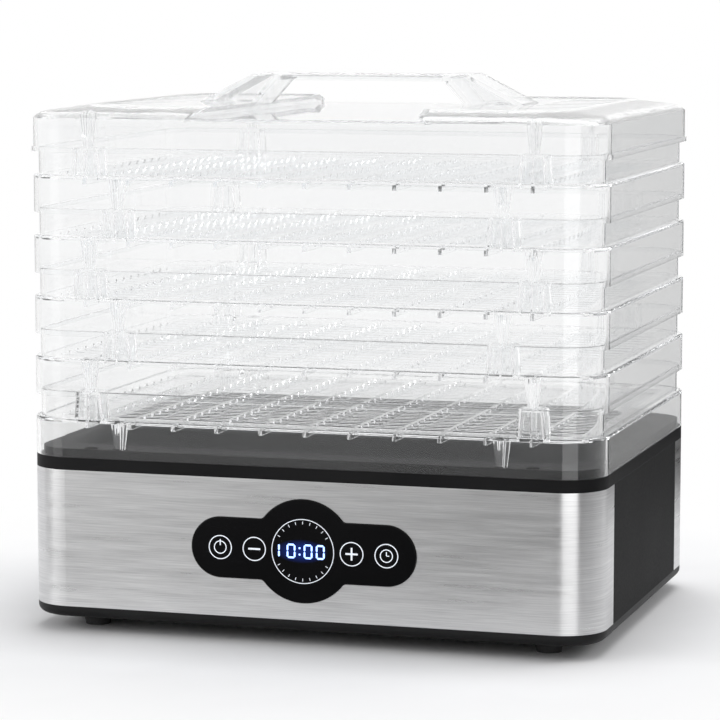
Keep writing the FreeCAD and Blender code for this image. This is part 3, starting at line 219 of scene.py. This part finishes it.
def build_skin():
    """The fine grain of a moulded surface, with slow variation from flow in the mould."""
    group, entry, leave = new_group(
        "moulded_skin",
        {"Position": (VECTOR, None), "Fineness": (FLOAT, 1500.0), "Depth": (FLOAT, 0.3),
         "Edge": (FLOAT, 0.4 * MM)},
        {"Grain": FLOAT, "Flow": FLOAT, "Normal": VECTOR})
    grain = add(group, "ShaderNodeTexNoise", Detail=4.0, Roughness=0.6)
    join(group, entry.outputs["Position"], grain.inputs["Vector"])
    join(group, entry.outputs["Fineness"], grain.inputs["Scale"])
    flow = add(group, "ShaderNodeTexNoise", Scale=14.0, Detail=3.0, Distortion=0.6)
    join(group, entry.outputs["Position"], flow.inputs["Vector"])
    bump = add(group, "ShaderNodeBump", Distance=0.03 * MM)
    soften_edges(group, entry, bump)
    join(group, entry.outputs["Depth"], bump.inputs["Strength"])
    join(group, grain.outputs["Fac"], bump.inputs["Height"])
    join(group, grain.outputs["Fac"], leave.inputs["Grain"])
    join(group, flow.outputs["Fac"], leave.inputs["Flow"])
    join(group, bump.outputs["Normal"], leave.inputs["Normal"])
    return group


def build_bands():
    """Fine parallel lines across one axis: laminations, wire turns or thread."""
    group, entry, leave = new_group(
        "fine_bands",
        {"Position": (VECTOR, None), "Axis": (VECTOR, (0.0, 0.0, 1.0)), "Spacing": (FLOAT, 0.5 * MM),
         "Depth": (FLOAT, 0.5)},
        {"Mask": FLOAT, "Normal": VECTOR})
    along = add(group, "ShaderNodeVectorMath", operation="DOT_PRODUCT")
    join(group, entry.outputs["Position"], along.inputs[0])
    join(group, entry.outputs["Axis"], along.inputs[1])
    turns = add(group, "ShaderNodeMath", operation="DIVIDE")
    join(group, along.outputs["Value"], turns.inputs[0])
    join(group, entry.outputs["Spacing"], turns.inputs[1])
    wave = add(group, "ShaderNodeMath", operation="PINGPONG")
    wave.inputs[1].default_value = 0.5
    join(group, turns.outputs[0], wave.inputs[0])
    mask = add(group, "ShaderNodeMath", operation="MULTIPLY")
    mask.inputs[1].default_value = 2.0
    join(group, wave.outputs[0], mask.inputs[0])
    bump = add(group, "ShaderNodeBump", Distance=0.1 * MM)
    join(group, entry.outputs["Depth"], bump.inputs["Strength"])
    join(group, mask.outputs[0], bump.inputs["Height"])
    join(group, mask.outputs[0], leave.inputs["Mask"])
    join(group, bump.outputs["Normal"], leave.inputs["Normal"])
    return group


BRUSHING = build_brushing()
SKIN = build_skin()
BANDS = build_bands()


def new_material(name, **values):
    """A material with a Principled BSDF whose named sockets are set."""
    material = bpy.data.materials.new(name)
    material.use_nodes = True
    tree = material.node_tree
    surface = tree.nodes["Principled BSDF"]
    for label, value in values.items():
        surface.inputs[label.replace("_", " ")].default_value = value
    place = add(tree, "ShaderNodeTexCoord").outputs["Object"]
    return material, tree, surface, place


def tint(tree, surface, mask, low, high, socket="Base Color"):
    """Blend two colours by a mask into a colour socket."""
    ramp = add(tree, "ShaderNodeValToRGB")
    ramp.color_ramp.elements[0].position = MASK_LOW
    ramp.color_ramp.elements[0].color = (*low, 1.0)
    ramp.color_ramp.elements[1].position = MASK_HIGH
    ramp.color_ramp.elements[1].color = (*high, 1.0)
    join(tree, mask, ramp.inputs["Fac"])
    join(tree, ramp.outputs["Color"], surface.inputs[socket])


def spread(tree, surface, mask, low, high):
    """Map a mask to a range of roughness."""
    reach = add(tree, "ShaderNodeMapRange")
    reach.inputs["From Min"].default_value = MASK_LOW
    reach.inputs["From Max"].default_value = MASK_HIGH
    reach.inputs["To Min"].default_value = low
    reach.inputs["To Max"].default_value = high
    join(tree, mask, reach.inputs["Value"])
    join(tree, reach.outputs["Result"], surface.inputs["Roughness"])


# ---------------------------------------------------------------- the panel's place

PANEL_LOW, PANEL_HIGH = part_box("control_panel")
PANEL_MIDDLE = (PANEL_LOW + PANEL_HIGH) / 2
PANEL_FACE = PANEL_LOW.y


def on_panel(across, up):
    """A point on the panel's face, measured from the middle of its disc."""
    return (PANEL_MIDDLE.x + across, PANEL_FACE, PANEL_MIDDLE.z + up)


# ---------------------------------------------------------------- materials


def brushed_steel():
    """Sheet steel brushed along the level directions, which draws a lamp into upright bands."""
    material, tree, surface, place = new_material(
        "brushed_steel", Metallic=1.0, Anisotropic=0.75, Anisotropic_Rotation=0.25)
    lines = place_group(tree, BRUSHING, Length=34.0, Fineness=2100.0, Depth=0.12)
    join(tree, place, lines.inputs["Position"])
    tint(tree, surface, lines.outputs["Mask"], (0.56, 0.56, 0.565), (0.74, 0.74, 0.74))
    spread(tree, surface, lines.outputs["Broad"], 0.27, 0.36)
    join(tree, lines.outputs["Normal"], surface.inputs["Normal"])
    return material


def moulded(name, dark, light, smooth, rough, fineness=1500.0, depth=0.3, **values):
    """A moulded plastic or rubber in one colour, with grain and slow variation."""
    material, tree, surface, place = new_material(name, **values)
    skin = place_group(tree, SKIN, Fineness=fineness, Depth=depth)
    join(tree, place, skin.inputs["Position"])
    tint(tree, surface, skin.outputs["Flow"], dark, light)
    spread(tree, surface, skin.outputs["Grain"], smooth, rough)
    join(tree, skin.outputs["Normal"], surface.inputs["Normal"])
    return material


def plain_metal(name, dark, light, smooth, rough, length=60.0):
    """A rolled or plated metal with faint marks from its making."""
    material, tree, surface, place = new_material(name, Metallic=1.0)
    lines = place_group(tree, BRUSHING, Length=length, Fineness=900.0, Depth=0.15)
    join(tree, place, lines.inputs["Position"])
    tint(tree, surface, lines.outputs["Broad"], dark, light)
    spread(tree, surface, lines.outputs["Mask"], smooth, rough)
    join(tree, lines.outputs["Normal"], surface.inputs["Normal"])
    return material


def banded(name, dark, light, axis, spacing, smooth, rough, **values):
    """A surface of fine parallel lines."""
    material, tree, surface, place = new_material(name, **values)
    bands = place_group(tree, BANDS, Axis=axis, Spacing=spacing)
    join(tree, place, bands.inputs["Position"])
    tint(tree, surface, bands.outputs["Mask"], dark, light)
    spread(tree, surface, bands.outputs["Mask"], rough, smooth)
    join(tree, bands.outputs["Normal"], surface.inputs["Normal"])
    return material


def clear_plastic(name, clearness):
    """Clear moulded plastic with a faint haze, which passes the lamps' light to what it covers."""
    material, tree, surface, place = new_material(
        name, Transmission_Weight=clearness, IOR=1.46)
    skin = place_group(tree, SKIN, Fineness=90.0, Depth=0.04, Edge=0.0)
    join(tree, place, skin.inputs["Position"])
    tint(tree, surface, skin.outputs["Flow"], (0.965, 0.968, 0.97), (0.983, 0.985, 0.986))
    spread(tree, surface, skin.outputs["Flow"], 0.02, 0.05)
    join(tree, skin.outputs["Normal"], surface.inputs["Normal"])
    passing = add(tree, "ShaderNodeBsdfTransparent")
    passing.inputs["Color"].default_value = (0.985, 0.988, 0.99, 1.0)
    path = add(tree, "ShaderNodeLightPath")
    unseen = either(tree, path.outputs["Is Shadow Ray"], path.outputs["Is Diffuse Ray"])
    deep = add(tree, "ShaderNodeMath", operation="GREATER_THAN")
    deep.inputs[1].default_value = DEEPEST
    join(tree, path.outputs["Ray Depth"], deep.inputs[0])
    straight = either(tree, unseen, deep.outputs[0])
    blend(tree, straight, surface.outputs["BSDF"], passing.outputs["BSDF"])
    return material


def lit(name, colour, strength):
    """A lit part of the display, its light varying a little with a fine grain."""
    material, tree, surface, place = new_material(
        name, Roughness=0.4, Emission_Strength=strength)
    surface.inputs["Base Color"].default_value = (*colour, 1.0)
    skin = place_group(tree, SKIN, Fineness=600.0, Depth=0.05)
    join(tree, place, skin.inputs["Position"])
    soft = tuple(0.85 * part for part in colour)
    tint(tree, surface, skin.outputs["Grain"], soft, colour, "Emission Color")
    return material


def gloss_panel():
    """Glossy black, with a faint painted blue glow round the display for the light that spreads under
    its face.
    """
    material, tree, surface, place = new_material(
        "gloss_panel", Specular_IOR_Level=0.14, Emission_Strength=PAINTED_GLOW_LEVEL)
    skin = place_group(tree, SKIN, Depth=0.03)
    join(tree, place, skin.inputs["Position"])
    tint(tree, surface, skin.outputs["Flow"], (0.003, 0.003, 0.0035), (0.005, 0.005, 0.0055))
    spread(tree, surface, skin.outputs["Grain"], 0.06, 0.09)
    join(tree, skin.outputs["Normal"], surface.inputs["Normal"])
    # Painted glow: blue emission round the lit time that fades out with distance across the panel
    from_time = add(tree, "ShaderNodeVectorMath", operation="SUBTRACT")
    from_time.inputs[1].default_value = on_panel(TIME_SHIFT + PAINTED_GLOW_SHIFT, 0)
    join(tree, place, from_time.inputs[0])
    shaped = add(tree, "ShaderNodeVectorMath", operation="DIVIDE")
    shaped.inputs[1].default_value = (PAINTED_GLOW_WIDTH, 1.0, PAINTED_GLOW_HEIGHT)
    join(tree, from_time.outputs[0], shaped.inputs[0])
    away = add(tree, "ShaderNodeVectorMath", operation="LENGTH")
    join(tree, shaped.outputs[0], away.inputs[0])
    tint(tree, surface, away.outputs["Value"], (0.04, 0.12, 0.9), (0.0, 0.0, 0.0),
         "Emission Color")
    return material


def circuit_board():
    """Green solder mask over copper tracks."""
    material, tree, surface, place = new_material("circuit_board", Coat_Weight=0.3)
    tracks = add(tree, "ShaderNodeTexBrick", Scale=300.0)
    tracks.inputs["Color1"].default_value = (0.012, 0.11, 0.035, 1.0)
    tracks.inputs["Color2"].default_value = (0.016, 0.15, 0.05, 1.0)
    tracks.inputs["Mortar"].default_value = (0.05, 0.24, 0.08, 1.0)
    join(tree, place, tracks.inputs["Vector"])
    join(tree, tracks.outputs["Color"], surface.inputs["Base Color"])
    skin = place_group(tree, SKIN)
    join(tree, place, skin.inputs["Position"])
    spread(tree, surface, skin.outputs["Grain"], 0.3, 0.45)
    join(tree, skin.outputs["Normal"], surface.inputs["Normal"])
    return material


def finishes():
    """Every finish by the material slot it belongs to."""
    return {
        "brushed_steel": brushed_steel(),
        "black_plastic": moulded("black_plastic", (0.007, 0.007, 0.0075), (0.012, 0.012, 0.0125),
                                 0.42, 0.54, depth=0.25, Specular_IOR_Level=0.18),
        "black_rubber": moulded("black_rubber", (0.014, 0.014, 0.015), (0.025, 0.025, 0.026),
                                0.6, 0.8, fineness=900.0, depth=0.6),
        "grey_plastic": moulded("grey_plastic", (0.05, 0.05, 0.052), (0.075, 0.075, 0.078),
                                0.4, 0.55),
        "gloss_panel": gloss_panel(),
        "display_plastic": moulded("display_plastic", (0.02, 0.02, 0.022), (0.03, 0.03, 0.032),
                                   0.15, 0.25),
        "white_nylon": moulded("white_nylon", (0.74, 0.73, 0.69), (0.8, 0.79, 0.76), 0.4, 0.5),
        "conductive_foam": moulded("conductive_foam", (0.03, 0.03, 0.031), (0.06, 0.06, 0.062),
                                   0.8, 0.95, fineness=2500.0, depth=0.9),
        "relay_plastic": moulded("relay_plastic", (0.02, 0.06, 0.3), (0.03, 0.08, 0.36),
                                 0.25, 0.35),
        "transformer_yellow": moulded("transformer_yellow", (0.62, 0.45, 0.06),
                                      (0.72, 0.54, 0.09), 0.35, 0.45, fineness=400.0),
        "capacitor_amber": moulded("capacitor_body", (0.5, 0.36, 0.04), (0.58, 0.43, 0.06),
                                   0.3, 0.4),
        "terminal_green": moulded("terminal_green", (0.03, 0.26, 0.08), (0.05, 0.32, 0.1),
                                  0.4, 0.5),
        "sensor_glass": moulded("sensor_glass", (0.2, 0.04, 0.02), (0.28, 0.07, 0.04),
                                0.1, 0.2, Coat_Weight=0.5),
        "mica": moulded("mica", (0.42, 0.33, 0.2), (0.6, 0.5, 0.34), 0.35, 0.6, fineness=250.0,
                        depth=0.4),
        "plated_steel": plain_metal("plated_steel", (0.58, 0.58, 0.56), (0.7, 0.7, 0.68),
                                    0.25, 0.4),
        "liner_steel": plain_metal("liner_steel", (0.5, 0.5, 0.49), (0.6, 0.6, 0.58), 0.3, 0.45),
        "heater_alloy": plain_metal("heater_alloy", (0.16, 0.14, 0.13), (0.28, 0.24, 0.22),
                                    0.4, 0.6),
        "rotor_aluminium": plain_metal("rotor_aluminium", (0.62, 0.62, 0.63),
                                       (0.74, 0.74, 0.75), 0.35, 0.5),
        "sintered_bronze": plain_metal("sintered_bronze", (0.4, 0.26, 0.12), (0.52, 0.36, 0.18),
                                       0.4, 0.6, length=700.0),
        "lamination_steel": banded("lamination_steel", (0.06, 0.06, 0.065), (0.16, 0.16, 0.17),
                                   (0.0, 0.0, 1.0), 0.5 * MM, 0.35, 0.6, Metallic=0.8),
        # The winding's colour darkens between the turns and lightens on their crowns: painted shade in
        # the grooves and a painted highlight on the crowns
        "copper": banded("copper_winding", (0.3, 0.1, 0.045), (0.62, 0.25, 0.12),
                         (1.0, 0.0, 0.0), 0.45 * MM, 0.25, 0.5, Metallic=0.9),
        "circuit_board": circuit_board(),
        "clear_plastic": clear_plastic("clear_plastic", 0.995),
    }


def own_finishes():
    """The lid is hazier than the trays, and the deck and the side panels less glossy than the rest."""
    satin = moulded("satin_black", (0.006, 0.006, 0.0065), (0.010, 0.010, 0.0105), 0.6, 0.7,
                    fineness=1100.0, depth=0.4, Specular_IOR_Level=0.1)
    deck = moulded("deck_black", (0.008, 0.008, 0.0085), (0.013, 0.013, 0.0135), 0.45, 0.55,
                   depth=0.2, Specular_IOR_Level=0.07)
    return {"lid": clear_plastic("hazy_plastic", 0.94), "top_deck": deck,
            "left_side_panel": satin, "right_side_panel": satin}


FINISHES = finishes()
OWN_FINISHES = own_finishes()
DIGITS = lit("lit_digits", (0.30, 0.46, 1.0), 2.6)
# The printed key and dial lines get a faint painted glow, which lifts them towards white
GLOWING_KEYLINES = lit("keylines_with_painted_glow", (0.8, 0.84, 0.9), 0.35)


def dress_frame():
    """Give every CAD node its own finish, or its slot's."""
    for part in frame["record"]["subparts"]:
        item = frame["nodes"][part["node"]]
        item.data.materials.clear()
        item.data.materials.append(OWN_FINISHES.get(part["node"], FINISHES[part["material_slot"]]))


# ---------------------------------------------------------------- modelling helpers


def finish_piece(item, name, material, body):
    """Bake the piece's place into its mesh, and give it its name, finish and body."""
    bpy.ops.object.mode_set(mode="OBJECT")
    bpy.ops.object.transform_apply(location=True, rotation=True, scale=True)
    item.name = name
    item.data.name = name
    item.data.materials.clear()
    item.data.materials.append(material)
    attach(item, body)
    item.select_set(False)
    return item


def join_pieces(items, name, material):
    """Make one piece of the base of several."""
    bpy.ops.object.select_all(action="DESELECT")
    for item in items:
        item.select_set(True)
    bpy.context.view_layer.objects.active = items[0]
    bpy.ops.object.join()
    return finish_piece(items[0], name, material, "base")


def select_faces(item, chosen):
    """In edit mode, select the faces whose centre and normal pass a test."""
    bpy.ops.mesh.select_all(action="DESELECT")
    bpy.ops.mesh.select_mode(type="FACE")
    bpy.ops.object.mode_set(mode="OBJECT")
    for face in item.data.polygons:
        face.select = chosen(face.center, face.normal)
    bpy.ops.object.mode_set(mode="EDIT")


def thicken_print():
    """In edit mode, give a flat print its depth, out of the panel's face."""
    bpy.ops.mesh.select_all(action="SELECT")
    bpy.ops.mesh.extrude_region_move(TRANSFORM_OT_translate={"value": (0, -PRINT_DEPTH, 0)})
    bpy.ops.mesh.select_all(action="SELECT")
    bpy.ops.mesh.normals_make_consistent(inside=False)
    bpy.ops.object.mode_set(mode="OBJECT")


def ring_print(across, up, radius, width, points=72):
    """A printed ring."""
    bpy.ops.mesh.primitive_circle_add(vertices=points, radius=radius, fill_type="NGON",
                                      location=on_panel(across, up), rotation=(math.pi / 2, 0, 0))
    item = bpy.context.object
    bpy.ops.object.mode_set(mode="EDIT")
    bpy.ops.mesh.inset(thickness=width)
    bpy.ops.mesh.delete(type="FACE")
    thicken_print()
    return item


def bar_print(across, up, length, width, turn=0.0, pointed=False):
    """A printed bar, with pointed ends if asked, turned about the panel's normal."""
    bpy.ops.mesh.primitive_plane_add(size=1, location=on_panel(across, up),
                                     rotation=(math.pi / 2, turn, 0))
    item = bpy.context.object
    item.scale = (length, width, 1)
    bpy.ops.object.transform_apply(location=False, rotation=False, scale=True)
    bpy.ops.object.mode_set(mode="EDIT")
    bpy.ops.mesh.select_all(action="SELECT")
    share = 0.49 if pointed else 0.2
    bpy.ops.mesh.bevel(offset=share * width, segments=1 if pointed else 3, affect="VERTICES")
    thicken_print()
    return item


# ---------------------------------------------------------------- printed marks

PADS_LOW, PADS_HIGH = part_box("touch_pads")
KEY_OUTER = (PADS_HIGH.x - PADS_LOW.x - (PADS_HIGH.z - PADS_LOW.z)) / 2
KEY_INNER = KEY_OUTER - KEY_SPACING


def key_marks():
    """Rings with the usual signs: on and off, less, more, and a clock."""
    marks = [ring_print(across, 0, KEY_RING, LINE)
             for across in (-KEY_OUTER, -KEY_INNER, KEY_INNER, KEY_OUTER)]
    sign = 0.55 * KEY_RING
    for across, turn in ((-KEY_INNER, 0), (KEY_INNER, 0), (KEY_INNER, math.pi / 2)):
        marks.append(bar_print(across, 0, 1.9 * sign, 1.9 * LINE, turn=turn))
    marks.append(ring_print(-KEY_OUTER, 0, sign, LINE, points=48))
    marks.append(bar_print(-KEY_OUTER, 0.75 * sign, 0.9 * sign, 1.2 * LINE, turn=math.pi / 2))
    marks.append(ring_print(KEY_OUTER, 0, sign, LINE, points=48))
    marks.append(bar_print(KEY_OUTER, 0.3 * sign, 0.6 * sign, LINE, turn=math.pi / 2))
    marks.append(bar_print(KEY_OUTER + 0.22 * sign, 0, 0.44 * sign, LINE))
    join_pieces(marks, "key_marks", GLOWING_KEYLINES)


def dial_marks():
    """A ring round the display with short ticks inside it."""
    marks = [ring_print(0, 0, DIAL_RING, 0.8 * LINE, points=96)]
    reach = DIAL_RING - LINE - TICK_LENGTH
    for index in range(DIAL_TICKS):
        angle = 2 * math.pi * index / DIAL_TICKS
        if abs(math.sin(angle)) < TICK_GAP:
            continue
        marks.append(bar_print(reach * math.cos(angle), reach * math.sin(angle), TICK_LENGTH,
                               0.6 * LINE, turn=-angle))
    join_pieces(marks, "dial_marks", GLOWING_KEYLINES)


# Which of a digit's seven bars are lit: top, upper right, lower right, bottom, lower left,
# upper left, middle
LIT_BARS = {"0": (0, 1, 2, 3, 4, 5), "1": (1, 2)}


def digit_bars(figure, across):
    """The lit bars of one figure."""
    side = DIGIT_WIDTH / 2
    if figure == "1":
        across -= side
    half = DIGIT_HEIGHT / 2
    upright = half - 0.25 * DIGIT_STROKE
    level = DIGIT_WIDTH - 0.25 * DIGIT_STROKE
    places = [(0, half, level, 0), (side, half / 2, upright, 1), (side, -half / 2, upright, 1),
              (0, -half, level, 0), (-side, -half / 2, upright, 1), (-side, half / 2, upright, 1),
              (0, 0, level, 0)]
    shown = [places[bar] for bar in LIT_BARS[figure]]
    return [bar_print(across + shift, up, length, DIGIT_STROKE, turn=quarters * math.pi / 2,
                      pointed=True)
            for shift, up, length, quarters in shown]


def display_digits():
    """The lit time, two figures on each side of a colon."""
    pieces = []
    first, second = TIME_SHOWN.split(":")
    for side, figures in ((-1, reversed(first)), (1, second)):
        for index, figure in enumerate(figures):
            across = TIME_SHIFT + side * (COLON_GAP + DIGIT_SPACING * index)
            pieces += digit_bars(figure, across)
    for up in (-DIGIT_HEIGHT / 4, DIGIT_HEIGHT / 4):
        pieces.append(bar_print(TIME_SHIFT, up, DIGIT_STROKE, DIGIT_STROKE))
    join_pieces(pieces, "display_digits", DIGITS)


# ---------------------------------------------------------------- screws


def screw_head(centre, radius, height, up):
    """A pan-head screw's head with a cross recess, its dome facing up or down."""
    bpy.ops.mesh.primitive_cylinder_add(vertices=40, radius=radius, depth=height, location=centre,
                                        rotation=(0, 0 if up else math.pi, 0))
    head = bpy.context.object
    bpy.ops.object.mode_set(mode="EDIT")
    select_faces(head, lambda middle, normal: normal.z > 0.9)
    bpy.ops.mesh.bevel(offset=min(SCREW_DOME, 0.45 * height), segments=4, affect="EDGES")
    bpy.ops.object.mode_set(mode="OBJECT")
    arm = 2 * CROSS_ARM * radius
    width = 2 * CROSS_WIDTH * radius
    way = 1 if up else -1
    top = centre[2] + way * height / 2
    for size in ((arm, width), (width, arm)):
        bpy.ops.mesh.primitive_cube_add(size=1, location=(centre[0], centre[1], top))
        tool = bpy.context.object
        tool.scale = (*size, 2 * min(CROSS_DEPTH, 0.6 * height))
        bpy.ops.object.transform_apply(location=False, rotation=False, scale=True)
        recess = head.modifiers.new("recess", "BOOLEAN")
        recess.operation = "DIFFERENCE"
        recess.object = tool
        bpy.context.view_layer.objects.active = head
        bpy.ops.object.modifier_apply(modifier="recess")
        bpy.data.objects.remove(tool)
    return head


def screw_set(node, places, scale, up):
    """Screws with domed, cross-slotted heads and plain shanks, in place of a CAD node."""
    low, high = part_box(node)
    pieces = []
    radius = SCREW_HEAD * scale
    height = SCREW_HEIGHT * scale
    for x, y in places:
        head_z = high.z - height / 2 if up else low.z + height / 2
        head = screw_head((x, y, head_z), radius, height, up)
        length = high.z - low.z - height
        shank_z = low.z + length / 2 if up else high.z - length / 2
        bpy.ops.mesh.primitive_cylinder_add(vertices=24, radius=SCREW_SHANK * scale, depth=length,
                                            location=(x, y, shank_z))
        shank = bpy.context.object
        bpy.ops.object.mode_set(mode="EDIT")
        point = -1 if up else 1
        select_faces(shank, lambda middle, normal: normal.z * point > 0.9)
        bpy.ops.mesh.bevel(offset=SCREW_POINT * scale, segments=2, affect="EDGES")
        bpy.ops.object.mode_set(mode="OBJECT")
        pieces += [head, shank]
    whole = join_pieces(pieces, f"{node}_turned", FINISHES["plated_steel"])
    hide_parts(node)


def middle_of(node):
    """The middle of a node's box."""
    low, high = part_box(node)
    return (low + high) / 2


def corner_places(node, radius):
    """The four places of a node's like pieces, from the ends of its box."""
    low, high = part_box(node)
    return [(x, y) for x in (low.x + radius, high.x - radius)
            for y in (low.y + radius, high.y - radius)]


def screws():
    """The screws under the feet, under the deck and round the fan's duct."""
    feet = [middle_of(f"foot_{end}_{side}") for end in ("front", "rear")
            for side in ("left", "right")]
    screw_set("foot_screws", [(foot.x, foot.y) for foot in feet], 1.0, False)
    screw_set("deck_screws", corner_places("deck_screws", SCREW_HEAD), 1.0, False)
    screw_set("duct_screws", corner_places("duct_screws", SCREW_HEAD * SMALL_SCREW), SMALL_SCREW,
              True)


# ---------------------------------------------------------------- studio


def floor():
    """A pale floor that keeps the object's shadow and fades to the white backdrop."""
    bpy.ops.mesh.primitive_plane_add(size=FLOOR_SIZE, location=(0, 0, 0))
    ground = bpy.context.object
    ground.name = "studio_floor"
    material, tree, surface, place = new_material(
        "studio_floor", Roughness=0.5, Specular_IOR_Level=0.0)
    skin = place_group(tree, SKIN, Fineness=300.0, Depth=0.02)
    join(tree, place, skin.inputs["Position"])
    tint(tree, surface, skin.outputs["Flow"], (0.80, 0.80, 0.81), (0.82, 0.82, 0.83))
    away = add(tree, "ShaderNodeVectorMath", operation="LENGTH")
    join(tree, place, away.inputs[0])
    fade = add(tree, "ShaderNodeMapRange", interpolation_type="SMOOTHSTEP")
    fade.inputs["From Min"].default_value = FADE_START
    fade.inputs["From Max"].default_value = FADE_END
    join(tree, away.outputs["Value"], fade.inputs["Value"])
    path = add(tree, "ShaderNodeLightPath")
    seen = either(tree, path.outputs["Is Camera Ray"], path.outputs["Is Transmission Ray"])
    share = add(tree, "ShaderNodeMath", operation="MULTIPLY")
    join(tree, fade.outputs["Result"], share.inputs[0])
    join(tree, seen, share.inputs[1])
    white = add(tree, "ShaderNodeEmission", Color=WHITE, Strength=1.0)
    blend(tree, share.outputs[0], surface.outputs["BSDF"], white.outputs["Emission"])
    ground.data.materials.append(material)


def world():
    """A white backdrop for what is seen directly, in gloss and through glass, dimmer as light."""
    surround = bpy.data.worlds.new("studio")
    bpy.context.scene.world = surround
    surround.use_nodes = True
    tree = surround.node_tree
    tree.nodes.clear()
    path = add(tree, "ShaderNodeLightPath")
    seen = either(tree, path.outputs["Is Camera Ray"], path.outputs["Is Transmission Ray"])
    shown = either(tree, seen, path.outputs["Is Glossy Ray"])
    level = add(tree, "ShaderNodeMath", operation="MAXIMUM")
    level.inputs[1].default_value = WORLD_LIGHT
    join(tree, shown, level.inputs[0])
    backdrop = add(tree, "ShaderNodeBackground", Color=WHITE)
    join(tree, level.outputs[0], backdrop.inputs["Strength"])
    output = add(tree, "ShaderNodeOutputWorld")
    join(tree, backdrop.outputs["Background"], output.inputs["Surface"])


def card(name, place, width, height, level, lying=False, lift=0.0):
    """A board that only gloss shows: white, or a black flag. It faces the object or lies flat."""
    away = math.atan2(place[1], place[0])
    middle = FLAG_LIFT if lying else lift + height / 2
    tilt = 0 if lying else math.pi / 2
    bpy.ops.mesh.primitive_plane_add(size=1, location=(*place, middle),
                                     rotation=(tilt, 0, away - math.pi / 2))
    item = bpy.context.object
    item.scale = (width, height, 1)
    item.name = name
    material = bpy.data.materials.new(name)
    material.use_nodes = True
    tree = material.node_tree
    tree.nodes.remove(tree.nodes["Principled BSDF"])
    glow = add(tree, "ShaderNodeEmission", Color=WHITE, Strength=level)
    join(tree, glow.outputs["Emission"], tree.nodes["Material Output"].inputs["Surface"])
    item.data.materials.append(material)
    item.visible_camera = False
    item.visible_diffuse = False
    item.visible_transmission = False
    item.visible_shadow = False
    return item


def grade(item, start, end, last):
    """Let a card's level change along X to a last level."""
    tree = item.active_material.node_tree
    strength = tree.nodes["Emission"].inputs["Strength"]
    spot = add(tree, "ShaderNodeNewGeometry")
    place = add(tree, "ShaderNodeSeparateXYZ")
    join(tree, spot.outputs["Position"], place.inputs[0])
    change = add(tree, "ShaderNodeMapRange", interpolation_type="SMOOTHSTEP")
    change.inputs["From Min"].default_value = start
    change.inputs["From Max"].default_value = end
    change.inputs["To Min"].default_value = strength.default_value
    change.inputs["To Max"].default_value = last
    join(tree, place.outputs["X"], change.inputs["Value"])
    join(tree, change.outputs["Result"], strength)


def cards():
    """The light and dark boards round the object, which its glossy surfaces mirror."""
    card("white_card_right", (0.383, -0.54), 0.35, 0.5, 2.6)
    card("white_card_left", (-0.466, -0.454), 0.21, 0.5, 1.5)
    card("black_flag_right", (0.62, -0.22), 0.42, 0.9, 0.02)
    card("black_flag_side", (0.572, 0.17), 0.46, 0.9, 0.15)
    card("black_flag_back", (0.3, 0.38), 0.4, 0.3, 0.06)
    flag = card("black_flag_floor", (-0.2, -1.7), 2.6, 3.0, 0.42, lying=True)
    grade(flag, -0.25, 0.1, 0.1)
    front = card("white_card_front", (-0.75, -2.3), 2.0, 1.1, 1.9, lift=0.3)
    grade(front, -1.15, -0.35, 1.0)


def lamp(name, place, width, height, watts):
    """A soft box that points at the object."""
    bpy.ops.object.light_add(type="AREA", location=place)
    item = bpy.context.object
    item.name = name
    item.data.shape = "RECTANGLE"
    item.data.size = width
    item.data.size_y = height
    item.data.energy = watts
    item.visible_camera = False
    item.visible_transmission = False
    way = Vector(AIM) - Vector(place)
    item.rotation_euler = way.to_track_quat("-Z", "Z").to_euler()


def lamps():
    """One soft box at the left front, one behind on the right and one above."""
    lamp("left_box", (-1.4, -0.9, 0.7), 0.7, 1.4, 14.0)
    lamp("right_box", (1.2, 0.9, 0.7), 0.5, 1.4, 9.0)
    lamp("top_box", (0.1, 0.4, 1.6), 1.4, 1.0, 16.0)


def camera():
    """A long lens that looks down a little on the front and the right side."""
    bpy.ops.object.camera_add(location=CAMERA_PLACE,
                              rotation=(math.pi / 2 - CAMERA_DIP, 0, CAMERA_TURN))
    view = bpy.context.object
    view.data.sensor_width = SENSOR_WIDTH
    view.data.lens = FOCAL_LENGTH
    bpy.context.scene.camera = view


def studio():
    """Everything round the object, and how light passes through its clear walls."""
    floor()
    world()
    lamps()
    cards()
    camera()
    scene = bpy.context.scene
    scene.view_settings.view_transform = "Standard"
    scene.cycles.max_bounces = 40
    scene.cycles.transmission_bounces = 36
    scene.cycles.transparent_max_bounces = 40
    scene.cycles.glossy_bounces = 24
    scene.cycles.diffuse_bounces = 3


dress_frame()
key_marks()
dial_marks()
display_digits()
screws()
studio()
